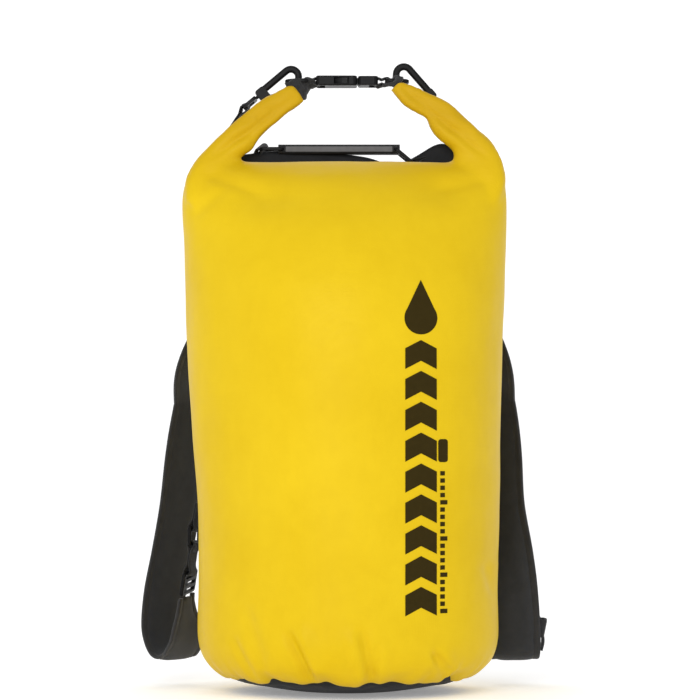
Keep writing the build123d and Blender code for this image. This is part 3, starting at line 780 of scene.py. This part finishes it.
def front_print():
    """Generic print: a drop over a column of chevrons, with a row of filling marks and a lozenge."""
    left, middle, right = 56, 71.3, 86.6
    drop_z, drop_radius = 368, 16
    outline = [(middle, drop_z + 37)]
    for k in range(29):
        angle = radians(35 - 250 * k / 28)
        outline.append((middle + drop_radius * cos(angle), drop_z + drop_radius * sin(angle)))
    parts = [front_patch("drop", outline)]
    tip, bar = 8, 20
    for k in range(9):
        low = 81 + k * 29.7
        high = low + bar
        parts.append(front_patch("chevron", [
            (left, low), (middle, low + tip), (right, low),
            (right, high), (middle, high + tip), (left, high),
        ]))
    for k in range(20):
        low = 83 + k * 7.0
        wide = 97 if k % 5 == 0 else 94.5
        parts.append(front_patch("mark", [(90, low), (wide, low), (wide, low + 4.2), (90, low + 4.2)]))
    lozenge = []
    for cx, cz, a0 in ((94.8, 248.5, 0), (90.6, 248.5, 90), (90.6, 231.5, 180), (94.8, 231.5, 270)):
        for k in range(5):
            angle = radians(a0 + 22.5 * k)
            lozenge.append((cx + 2.6 * cos(angle), cz + 2.6 * sin(angle)))
    parts.append(front_patch("lozenge", lozenge))
    return join_parts("front_print", parts)


finish_piece(front_print(), "tarpaulin", "bag")


# ------------------------ base cup
def base_cup():
    """Black cup: flat floor with a pressed ring, rounded edge, and puckers under the hem."""
    profile = [(0, 1.2), (26, 1.1), (36, 1.0), (39, 0.2), (43, 0.0), (48, 0.1), (60, 1.4), (78, 4.2),
               (92, 6.8), (104, 9.2), (112, 11.4), (117, 13.6), (121, 17), (126, 22), (131, 29), (136, 40),
               (139, 54),
               (137.6, 54.4), (134, 40), (124, 22), (112, 13), (92, 8.6), (60, 3.4), (0, 2.6)]
    rows = resample([(r, z, 0) for r, z in profile], 110)
    around = 180
    points = []
    for r, z, _ in rows:
        for k in range(around):
            angle = 2 * pi * k / around
            pucker = bump(r, 107, 9) * (0.9 * sin(angle * 23 + 1.2) + 0.7 * sin(angle * 37 + 0.4))
            out = r + pucker * 0.8
            points.append((out * cos(angle), out * sin(angle), max(z + pucker * 0.6, 0.0)))
    faces = tube_faces(len(rows), around, capped=False)
    return face_outward(make_object("base_shell", points, faces, black_coated), weld=True)


finish_piece(base_cup(), "base_tarpaulin", "bag", replaced=["base_cup"])


# ------------------------ black back
def on_back(x, z, lift=0.0):
    """Point on the sack's back at x and z, lifted off square to it."""
    top = min(z, 516.0)
    place, normal = hit((x, 400, top), (0, -1, 0))
    if z > 516:
        place = place + np.array((0, 1.5 + (z - 516) * 0.12, z - 516))
        normal = unit(normal * (1, 1, 0.2))
    return place + normal * lift, normal


def spread(wide, tall):
    """Grid of (u, v) over -1..1, row by row."""
    return [(2 * i / (wide - 1) - 1, 2 * j / (tall - 1) - 1) for j in range(tall) for i in range(wide)]


def draped(name, material, count, outline, lift, thick):
    """Closed sheet over the back, on a grid of count points.

    outline(u, v) gives x and z for u and v in -1..1, and thick may be a function of them too.
    """
    top, bottom, uvs = [], [], []
    for u, v in spread(*count):
        x, z = outline(u, v)
        place, normal = on_back(x, z)
        rise = thick(u, v) if callable(thick) else thick
        bottom.append(place + normal * lift)
        top.append(place + normal * (lift + rise))
        uvs.append((z * MM, x * MM))
    return face_outward(make_object(name, top + bottom, sheet_faces(*count), material, uvs + uvs))


def rounded(u, v, half_width, low, high, corner):
    """Square grid pulled onto a rectangle with round corners."""
    half_height = (high - low) / 2
    x, z = u * half_width, v * half_height
    over_x, over_z = abs(x) - (half_width - corner), abs(z) - (half_height - corner)
    if over_x > 0 and over_z > 0:
        reach = max(over_x, over_z)
        length = hypot(over_x, over_z)
        x = (half_width - corner + over_x * reach / length) * (1 if x > 0 else -1)
        z = (half_height - corner + over_z * reach / length) * (1 if z > 0 else -1)
    return x, z + (low + high) / 2


def panel_top(x):
    """The panel stands above the roll behind the handle, higher on the left."""
    rise = 9 * exp(-(((x + 50) / 60) ** 2)) + 15 * exp(-(((x - 95) / 22) ** 2))
    return 531 + rise - 6.5 * exp(-(((x - 46) / 18) ** 2))


PANEL_HALF = 110


def panel_place(u, v):
    x, z = rounded(u, v, PANEL_HALF, 98, 500, 26)
    if v > 0.5:
        x, straight = u * PANEL_HALF, 399.5
        z = straight + (v - 0.5) / 0.5 * (panel_top(x) - straight)
    return x, z


panel = draped("back_sheet", black_coated, (90, 130), panel_place, 0.3, 1.4)
finish_piece(panel, "panel_fabric", "bag", replaced=["back_panel"])

yoke = draped("yoke_patch", strap_fabric, (60, 22), lambda u, v: rounded(u, v, 82, 420, 478, 10), 1.9, 1.5)
finish_piece(yoke, "panel_fabric", "bag", replaced=["harness_yoke"])

PAD_HALF, PAD_LOW, PAD_HIGH = 90, 112, 368


def pad_place(u, v, grow=0.0, corner=30):
    return rounded(u, v, PAD_HALF + grow, PAD_LOW - grow, PAD_HIGH + grow, corner)


def pad_crown(u, v):
    """Slab of padding with its edge pinched down."""
    edge = min(1 - abs(u), (1 - abs(v)) * 1.5)
    full = min(edge / 0.16, 1.0)
    return 1.8 + 6.4 * (1 - (1 - full) ** 2) ** 0.5


def pad_insets(x, z):
    """How far x is inside the pad's sides, and z inside its ends."""
    middle = (PAD_LOW + PAD_HIGH) / 2
    return PAD_HALF - np.abs(x), PAD_HIGH - middle - np.abs(z - middle)


def pad_sewn(points):
    """Sewn down round its rim and free inside it."""
    x, _, z = points.T
    return 1 - smooth(3, 14, np.minimum(*pad_insets(x, z)))


def pad_channels(item):
    """Sewn channels pressed into the pad: one down the middle and slanting ones across."""
    points = points_of(item)
    x, _, z = points.T
    grounds, normals = (np.array(part) for part in zip(*[on_back(px, pz) for px, _, pz in points]))
    lifts = ((points - grounds) * normals).sum(axis=1)
    press = bump(x, 0, 5.5)
    for place in range(156, 325, 42):
        press = np.maximum(press, bump(z - 0.14 * np.abs(x), place, 3.4))
    from_side, from_end = pad_insets(x, z)
    inside = smooth(2, 10, from_side) * smooth(2, 10, from_end)
    down = np.maximum(lifts - 3.4, 0) * 0.86 * press * inside
    ruck = rough_noise(points * (1, 1, 0.5), 15, 2.4) * 0.5 * smooth(4, 8, lifts)
    set_points(item, points + normals * (ruck - down)[:, None])


back_pad = draped("lumbar_pad", pad_mesh, (70, 110), pad_place, 1.9, pad_crown)
inflate(back_pad, pad_sewn, 4, 5)
pad_channels(back_pad)
finish_piece(back_pad, "pad_mesh", "bag", replaced=["back_pad"])


def lifted(x, z, lift):
    return tuple(on_back(x, z, lift)[0])


def pad_border(grow, corner, count, lift):
    """Ring of points on the back, grow outside the pad's edge."""
    ring = []
    for u, v in circle(count):
        reach = max(abs(u), abs(v))
        ring.append(lifted(*pad_place(u / reach, v / reach, grow, corner), lift))
    return ring


def closed_cord(name, points, radius, material, sides, count):
    """Round cord along a closed ring of points."""
    rows = resample(points + points[:1], count)[:-1]
    frames = []
    for i, row in enumerate(rows):
        along = heading(rows, i, closed=True)
        guide = (0, 1, 0) if abs(along[1]) < 0.9 else (1, 0, 0)
        across = unit(np.cross(guide, along))
        frames.append((row, across, np.cross(across, along), radius, radius))
    return sweep(name, frames, circle(sides), material, closed=True)


piping = closed_cord("pad_piping", pad_border(3.5, 33, 72, 3.6), 2.7, binding_black, 10, 288)
finish_piece(piping, "binding", "bag", replaced=["pad_binding"])

STITCH, GAP, THREAD_RADIUS = 2.6, 1.3, 0.34


def stitches(name, rows):
    """Rows of separate stitches laid along point paths."""
    points, faces, ring = [], [], circle(5)
    for row in rows:
        row = resample(row, 600)
        run = runs_along(row)
        place = 0.0
        while place + STITCH < run[-1]:
            start, end = (
                np.array([np.interp(place + d, run, row[:, k]) for k in range(3)]) for d in (0, STITCH)
            )
            along = unit(end - start)
            guide = (0, 0, 1) if abs(along[2]) < 0.8 else (1, 0, 0)
            a = unit(np.cross(along, guide))
            b = np.cross(along, a)
            faces += tube_faces(4, len(ring), first=len(points))
            for share, grow in ((0, 0.35), (0.25, 1), (0.75, 1), (1, 0.35)):
                for c, s in ring:
                    off = (a * c + b * s) * THREAD_RADIUS * grow
                    points.append(start + (end - start) * share + off)
            place += STITCH + GAP
    return make_object(name, points, faces, thread)


# straight seams on the back: their two ends in x and z, number of steps and height
SEAMS = [
    (-79, 423, 79, 423, 14, 3.7), (-79, 474.5, 79, 474.5, 14, 3.7),
    (-78.5, 424, -78.5, 474, 6, 3.7), (78.5, 424, 78.5, 474, 6, 3.7),
    (-105, 120, -105, 490, 20, 2.0), (105, 120, 105, 490, 20, 2.0), (-84, 103.5, 84, 103.5, 14, 2.0),
]
seams = [pad_border(-2.5, 28, 60, 4.4)]
for x0, z0, x1, z1, steps, lift in SEAMS:
    seams.append([
        lifted(x0 + (x1 - x0) * k / steps, z0 + (z1 - z0) * k / steps, lift) for k in range(steps + 1)
    ])
finish_piece(stitches("back_stitching", seams), "binding", "bag")


# ------------------------ shoulder straps
# where each strap lies on the back: x, z, height above it, and its direction in x and z
LYING = {
    "left": [(-40, 440, 5, -0.8, -0.6), (-56, 420, 8.5, -0.8, -0.6),
             (-79, 400, 12, -0.75, -0.66), (-109, 372, 17, -0.6, -0.8)],
    "right": [(40, 440, 5, 0.8, -0.6), (56, 420, 8.5, 0.8, -0.6),
              (79, 400, 12, 0.75, -0.66), (107, 372, 17, 0.6, -0.8)],
}
# the rest of each strap, down to its ladder lock: points and the direction across it
HANGING = {
    "left": [
        (lifted(-134, 333, 26), (0.6, 0.75, 0.3)), ((-158.5, 124, 290), (0.65, 0.75, 0.1)),
        ((-167, 122, 235), (0.65, 0.75, 0)), ((-172.5, 118, 180), (0.68, 0.72, 0)),
        ((-180.5, 112, 130), (0.7, 0.7, 0)), ((-187.5, 106, 90), (0.73, 0.68, 0)),
        ((-190.5, 104, 60), (0.7, 0.7, 0)), ((-188.5, 101, 42), (0.66, 0.75, 0)),
        ((-182, 95, 30), (0.66, 0.75, 0)), ((-174, 88, 28), (0.66, 0.75, 0)),
        ((-168, 81, 36), (0.62, 0.78, 0)), ((-165.5, 71, 48), (0.55, 0.83, 0)),
        ((-165.2, 60, 64), (0.42, 0.9, 0.05)), ((-163.7, 52.5, 79), (0.34, 0.93, 0.1)),
        ((-162.5, 50, 91), (0.31, 0.94, 0.13)),
    ],
    "right": [
        (lifted(129, 333, 24), (0.65, -0.75, -0.3)), ((152, 119, 290), (0.7, -0.7, -0.1)),
        ((157, 112, 235), (0.75, -0.65, 0)), ((159, 103.5, 180), (0.8, -0.6, 0)),
        ((165, 94.5, 130), (0.9, -0.4, 0)), ((168.5, 88.5, 90), (1, -0.15, 0)),
        ((170.5, 86.5, 57), (1, -0.1, 0)), ((171, 90, 34), (1, -0.1, 0)),
        ((171.5, 101, 26), (1, -0.1, 0)), ((171, 112, 30), (0.98, -0.1, 0.1)),
        ((167.7, 117, 49.5), (0.92, -0.1, 0.37)),
    ],
}


def strap_width(share):
    """Wide over the shoulder, narrower at the yoke, and drawn in at the ladder lock."""
    shoulder = 3 * exp(-(((share - 0.4) / 0.25) ** 2))
    return 52 + shoulder - 14 * smooth(0.9, 1.0, share) - 6 * (1 - smooth(0, 0.08, share))


def strap_thick(share):
    return 8.6 - 4.2 * smooth(0.93, 1.0, share) - 3.4 * (1 - smooth(0, 0.07, share))


def place_on(frames, points):
    """For each point: its run along the frames, its share across them and its height off them."""
    origins = np.array([f[0] for f in frames])
    runs = runs_along(origins)
    placed = []
    for point in points:
        near = int(np.argmin(((origins - point) ** 2).sum(axis=1)))
        origin, across, face, width, _ = frames[near]
        off = point - origin
        along = np.cross(across, face)
        placed.append((runs[near] - np.dot(off, along), np.dot(off, across), np.dot(off, face), width))
    return np.array(placed)


def strap_sewn(frames):
    """A strap is sewn at its two bound edges and is flat on its inner face."""
    def held(points):
        placed = place_on(frames, points)
        side = placed[:, 3] / 2 - np.abs(placed[:, 1])
        inner = 1 - smooth(-1.5, 0.5, placed[:, 2])
        return np.clip(1 - smooth(3, 9, side) + 0.8 * inner, 0, 1)
    return held


def wrap_uvs(item, frames):
    placed = place_on(frames, points_of(item))
    layer = item.data.uv_layers.new(name="UVMap")
    for loop in item.data.loops:
        row = placed[loop.vertex_index]
        layer.data[loop.index].uv = (row[0] * MM, row[1] * MM)


for name, hanging in HANGING.items():
    lying = []
    for x, z, lift, along_x, along_z in LYING[name]:
        across = np.cross((along_x, 0, along_z), on_back(x, z)[1])
        lying.append((lifted(x, z, lift), across))
    crosses = ("bag", f"{name}_strap", lying[1][0], lying[3][0])
    count = 230
    frames = path_frames(lying + hanging, count, strap_width, strap_thick)
    away = np.mean([f[2][1] for f in frames[: count // 4]])
    sign = 1 if away > 0 else -1
    frames = [(o, a, f * sign, w, t) for o, a, f, w, t in frames]
    pad = sweep(f"{name}_padded_strap", frames, puffed_profile(), strap_fabric)
    inflate(pad, strap_sewn(frames), 4, 2.5, 0.0036)
    wrap_uvs(pad, frames)
    points = points_of(pad)
    rumple = 0.45 * rough_noise(points * (1, 1, 0.6), 26, 4.4)
    set_points(pad, points + normals_of(pad) * rumple[:, None])
    parts = [pad]
    for edge in (-1, 1):
        rim_frames = [(o + a * edge * (w / 2 - 2.6), a, f, 7.4, 3.8) for o, a, f, w, t in frames]
        parts.append(sweep("rim", rim_frames, band_profile(0.4, 7), binding_black))
    padded = join_parts(f"{name}_padded_strap", parts)
    finish_piece(padded, "strap_padding", *crosses, [f"{name}_shoulder_pad"])

    # webbing down the middle of the outer face, with rows of stitches beside it
    reach = int(count * (0.6 if name == "left" else 0.66))
    web_frames = [(o + f * (t / 2 + 0.75), a, f, 25, 1.4) for o, a, f, w, t in frames[4:reach]]
    web = sweep(f"{name}_strap_webbing", web_frames, band_profile(), webbing_black)
    finish_piece(web, "webbing", *crosses, [f"{name}_shoulder_webbing"])
    seams = []
    for edge in (-1, 1):
        seams.append([o + a * edge * 10.6 + f * (t / 2 + 1.6) for o, a, f, w, t in frames[6:reach - 2]])
        seams.append([o + a * edge * (w / 2 - 4.6) + f * (t * 0.26) for o, a, f, w, t in frames[6:-4]])
    finish_piece(stitches(f"{name}_strap_stitching", seams), "webbing", *crosses)


# ------------------------ webbing turned round bars
def box_mm(node):
    return [np.array(corner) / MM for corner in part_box(node)]


def centre(node):
    return sum(box_mm(node)) / 2


BAR = 3.5  # radius of the webbing's turn round most bars


def doubled(spine, across, first, second, middle=0.95):
    """Closed loop of webbing: two layers along a spine that open round a bar at either end.

    first and second are the radii at the two ends; None sews the layers together there.
    """
    last = 39
    rows = resample([(*p, *unit(a)) for p, a in zip(spine, across)], last + 1)
    length = np.linalg.norm(np.diff(rows[:, :3], axis=0), axis=1).sum()
    run = np.linspace(0, length, last + 1)
    front, behind = [], []
    for i, row in enumerate(rows):
        along = heading(rows, i)
        side = square_to(row[3:6], along)
        out = np.cross(side, along)
        gap = middle
        for radius, away in ((first, run[i]), (second, length - run[i])):
            if radius:
                share = smooth(0, 9, away)
                gap = max(gap, radius * (1 - share) + middle * share)
        front.append((row[:3] + out * gap, side))
        behind.append((row[:3] - out * gap, side))

    def turn(i, way, radius):
        """Half a turn round the bar at row i, starting on the front layer for way 1."""
        along = heading(rows, i)
        side = square_to(rows[i][3:6], along)
        start = np.cross(side, along)
        points = []
        for k in range(1, 8):
            angle = pi * k / 8
            off = start * way * radius * cos(angle) + along * way * radius * sin(angle)
            points.append((rows[i][:3] + off, side))
        return points

    loop = front + (turn(last, 1, second) if second else []) + behind[::-1]
    return loop + (turn(0, -1, first) if first else []), bool(first and second)


def loop_webbing(name, spine, across, width, first=BAR, second=BAR, count=150):
    loop, closed = doubled(spine, across, first, second)
    if closed:
        loop = loop + loop[:1]
    rows = resample([(*p, *a) for p, a in loop], count)
    frames = frames_on(rows[:-1] if closed else rows, width, 1.45, closed)
    return sweep(name, frames, band_profile(), webbing_black, closed=closed)


_, clip_y, clip_z = centre("buckle_female")
for side, name, body in ((-1, "left", "bag"), (1, "right", "clip_end")):
    bars = [(side * 29.5, clip_y, clip_z), (side * 40, clip_y, clip_z)]
    loop = loop_webbing(f"{name}_clip_loop", bars, [(0, 1, 0)] * 2, 24.5)
    finish_piece(loop, "webbing", body, replaced=[f"{name}_clip_webbing"])


# crumpled ends of the mouth, which come round from the roll to the clip
def mouth_tab(name, path, width, seed):
    frames = path_frames(path, 50, lambda s: width * (1 - 0.25 * s), 2.6)
    item = sweep(name, frames, band_profile(0.3, 25), binding_black)
    points = points_of(item)
    lump = rough_noise(points, 6.5, seed)
    fine = rough_noise(points, 3.2, seed + 4)
    set_points(item, points + normals_of(item) * (2.0 * lump + 0.8 * fine)[:, None])
    return item


MOUTH_TABS = {
    "left": ("bag", 24, 1.7, [
        ((-57, -17, 594), (0.6, 0.1, -0.8)), ((-49, -16, 598), (0.55, 0.3, -0.76)),
        ((-43, -11, 600), (0.4, 0.6, -0.66)), ((-37, -4, 602.5), (0.2, 0.97, -0.2)),
        ((-32, 1, 603.6), (0, 1, 0)),
    ]),
    "right": ("clip_end", 15, 6.1, [
        ((54, -18, 605), (0.65, 0.1, 0.75)), ((47, -16, 607), (0.6, 0.3, 0.74)),
        ((42, -9, 606.5), (0.45, 0.7, 0.5)), ((38, -3, 604.5), (0.2, 0.97, 0.1)),
        ((33, 1, 603.4), (0, 1, 0)),
    ]),
}
for name, (body, width, seed, path) in MOUTH_TABS.items():
    tab = mouth_tab(f"{name}_tab_fabric", path, width, seed)
    finish_piece(tab, "binding", body, replaced=[f"{name}_mouth_tab"])

# ------------------------ hook webbing
JOINTS = {joint["name"]: joint for joint in frame["joints"]}
EYE_BARS = {"left": np.array((-102.15, 7, 582.78)), "right": np.array((97.58, 7, 578.46))}
for name, side in (("left", -1), ("right", 1)):
    bar = EYE_BARS[name]
    slider = centre(f"{name}_slider")
    way = unit(slider - bar)
    upper = loop_webbing(f"{name}_hook_loop", [bar, bar + way * 12, slider],
                         [(0, 1, 0), (side * -0.06, 1, 0), (side * -0.15, 1, 0)], 24.5, second=None)
    parent = "bag" if side < 0 else "clip_end"
    finish_piece(upper, "webbing", parent, f"{name}_eye", slider, bar, [f"{name}_hook_webbing"])

    path = [
        (slider - way * 5, (side * -0.15, 1, 0)), (slider + way * 8, (side * -0.2, 1, 0)),
        ((side * 141, 25, 530), (side * -0.3, 1, 0)), ((side * 150, 46, 506), (side * -0.6, 1, 0)),
        ((side * 139, 82, 480), (side * -0.8, 0.7, 0.3)),
        (lifted(side * 112, 458, 5), (side * -0.5, 0.3, 0.8)),
        (lifted(side * 96, 446, 2.6), (side * -0.47, 0.28, 0.8)),
    ]
    frames = path_frames(path, 90, 25, 2.9)
    lower = sweep(f"{name}_hook_strap", frames, band_profile(), webbing_black)
    seams = []
    for edge, face in ((-1, -1), (-1, 1), (1, -1), (1, 1)):
        seams.append([o + a * edge * 10.2 + f * face * 1.6 for o, a, f, w, t in frames[-16:-2]])
    lower = join_parts(f"{name}_hook_strap", [lower, stitches("rows", seams)])
    crosses = () if side < 0 else ("clip_end", (141, 25, 520), slider)
    finish_piece(lower, "webbing", "bag", *crosses)

# ------------------------ handle webbing
for name, side in (("left", -1), ("right", 1)):
    low, high = box_mm(f"{name}_handle_ring")
    bar = (low + high) / 2
    if side < 0:
        bar[0] = low[0] + 1.8
    else:
        bar[0], bar[2] = high[0] - 2.6, low[2] + 2.2
    foot, normal = on_back(side * 108, 502, 2.2)
    middle = bar * 0.5 + foot * 0.5 + normal * 2 + np.array((0, 0, 3.0 if side < 0 else 15.0))
    piece = loop_webbing(f"{name}_handle_loop", [bar, middle, foot],
                         [(0, 1, 0), (side * 0.3, 1, 0.1), (0, 1, -0.35)], 24.5, second=None, count=120)
    finish_piece(piece, "webbing", "bag", "handle", foot, bar, [f"{name}_handle_webbing"])

# ------------------------ lower anchors
ANCHOR_Z = 160
PATCH_GRID = (14, 26)
for name in ("left", "right"):
    ring = centre(f"{name}_anchor_ring")
    out = unit((ring[0], ring[1], 0))
    lock_joint = JOINTS[f"{name}_lock_tilt"]
    lock_bar = np.array(lock_joint["pos_m"]) / MM
    lock_axis = np.array(lock_joint["axis"])
    bar = out * 161.5 + np.array((0, 0, ANCHOR_Z))
    pull = square_to(lock_bar - bar, out)
    tangent = np.cross(out, pull)
    ring_end = bar + pull * 16.4
    if np.dot(lock_axis, tangent) < 0:
        lock_axis = -lock_axis
    adjusting = loop_webbing(f"{name}_adjusting_webbing", [ring_end, (ring_end + lock_bar) / 2, lock_bar],
                             [tangent, tangent + lock_axis, lock_axis], 21.5)
    crosses = ("bag", f"{name}_strap", ring_end, lock_bar)
    finish_piece(adjusting, "webbing", *crosses, [f"{name}_lower_webbing"])

    sewn = out * 156 + np.array((0, 0, ANCHOR_Z)) - pull * 25
    loop = loop_webbing(f"{name}_anchor_webbing", [bar, bar - pull * 9 - out * 2.4, sewn],
                        [tangent] * 3, 22.5, 3.4, None, count=110)
    finish_piece(loop, "webbing", "bag", replaced=[f"{name}_anchor_loop"])

    # patch under the anchor
    points, uvs = [], []
    for layer in (1.9, 3.3):
        for u, v in spread(*PATCH_GRID):
            beside, up = rounded(u, v, 16, 100, 184, 8)
            place, normal = hit(out * 300 + tangent * beside + np.array((0, 0, up)), -out)
            points.append(place + normal * layer)
            uvs.append((up * MM, beside * MM))
    patch = make_object(f"{name}_flank_patch", points, sheet_faces(*PATCH_GRID), strap_fabric, uvs)
    finish_piece(face_outward(patch), "panel_fabric", "bag", replaced=[f"{name}_anchor_patch"])

# loose end of the right adjusting webbing, turned out past the strap through an elastic keeper
tail_path = [
    ((164, 121, 70), (0.92, -0.1, 0.37)), ((166, 124, 84), (0.9, 0.1, 0.4)),
    ((176, 124, 91), (0.6, 0.7, 0.3)),
    ((188, 116, 80), (0.2, 0.97, 0.1)), ((197, 107, 66), (0, 1, 0)), ((200, 103, 52), (0, 1, 0)),
    ((201, 102, 42), (0, 1, 0)), ((199, 102, 33), (0, 1, 0)),
]
tail_frames = path_frames(tail_path, 80, 24, 2.9)
tail = sweep("right_webbing_tail", tail_frames, band_profile(), webbing_black)
keeper_path = []
for c, s in circle(24):
    reach = min(1 / max(abs(c), abs(s)), 1.25)
    keeper_path.append(((199 + 3.6 * c * reach, 103 + 14 * s * reach, 56), (0.2, 0, 1)))
keeper_frames = path_frames(keeper_path + keeper_path[:1], 72, 19, 2)[:-1]
keeper = sweep("keeper", keeper_frames, band_profile(), binding_black, closed=True)
tail = join_parts("right_webbing_tail", [tail, keeper])
finish_piece(tail, "webbing", "right_lock", "right_strap", (168, 124, 86), (195, 109, 68))


# ------------------------ studio
def stage_mesh():
    """Floor that curves up into a pale backdrop, in one sweep."""
    # y and z in metres
    profile = [(-16, 0), (-2, 0), (4.8, 0), (5.5, 0.06), (6.1, 0.35), (6.45, 0.9), (6.55, 1.8), (6.57, 7)]
    rows = resample([(y, z, 0) for y, z in profile], 80)
    points, faces = [], []
    for y, z, _ in rows:
        points += [(edge, y / MM, z / MM - 0.2) for edge in (-7000, 7000)]
    for i in range(len(rows) - 1):
        faces.append((2 * i, 2 * i + 1, 2 * i + 3, 2 * i + 2))
    s = Shader("studio_white", (0.93, 0.93, 0.93), 0.9, 0.1)
    s.color(s.mix(s.noise(3, 2), (0.945, 0.945, 0.945), (0.96, 0.96, 0.96)))
    s.main.inputs["Emission Color"].default_value = (1, 1, 1, 1)
    s.main.inputs["Emission Strength"].default_value = 0.25
    return make_object("studio_floor", points, faces, s.material)


stage_mesh()

world = bpy.data.worlds.new("studio")
world.use_nodes = True
background = world.node_tree.nodes["Background"]
background.inputs["Color"].default_value = (1, 1, 1, 1)
background.inputs["Strength"].default_value = 0.74
bpy.context.scene.world = world
bpy.context.scene.view_settings.view_transform = "Standard"


def stand(item, place, aim):
    """Puts a light or the camera at a place, looking at aim."""
    item.location = place
    item.rotation_euler = (aim - place).to_track_quat("-Z", "Y").to_euler()


def area_light(name, place, aim, size, power):
    light = bpy.data.lights.new(name, "AREA")
    light.shape = "DISK"
    light.size = size
    light.energy = power
    stand(add_object(name, light), Vector(place), Vector(aim))


area_light("key", (-0.5, -3.2, 1.3), (0, 0, 0.28), 1.5, 44)
area_light("fill", (2.2, -2.4, 1.2), (0, 0, 0.3), 2.0, 6)
area_light("side", (-2.4, -0.9, 0.7), (0, 0, 0.35), 1.8, 5)
area_light("rim", (-0.4, 2.0, 2.4), (0, 0, 0.4), 1.4, 8)

camera_data = bpy.data.cameras.new("camera")
camera_data.sensor_width = 36
distance, rise, seen_width = 3.6, radians(-1), 0.7
camera_data.lens = camera_data.sensor_width * distance / seen_width
camera = add_object("camera", camera_data)
aim = Vector((0.003, 0, 0.3393))
stand(camera, aim + Vector((0, -distance * cos(rise), distance * sin(rise))), aim)
bpy.context.scene.camera = camera
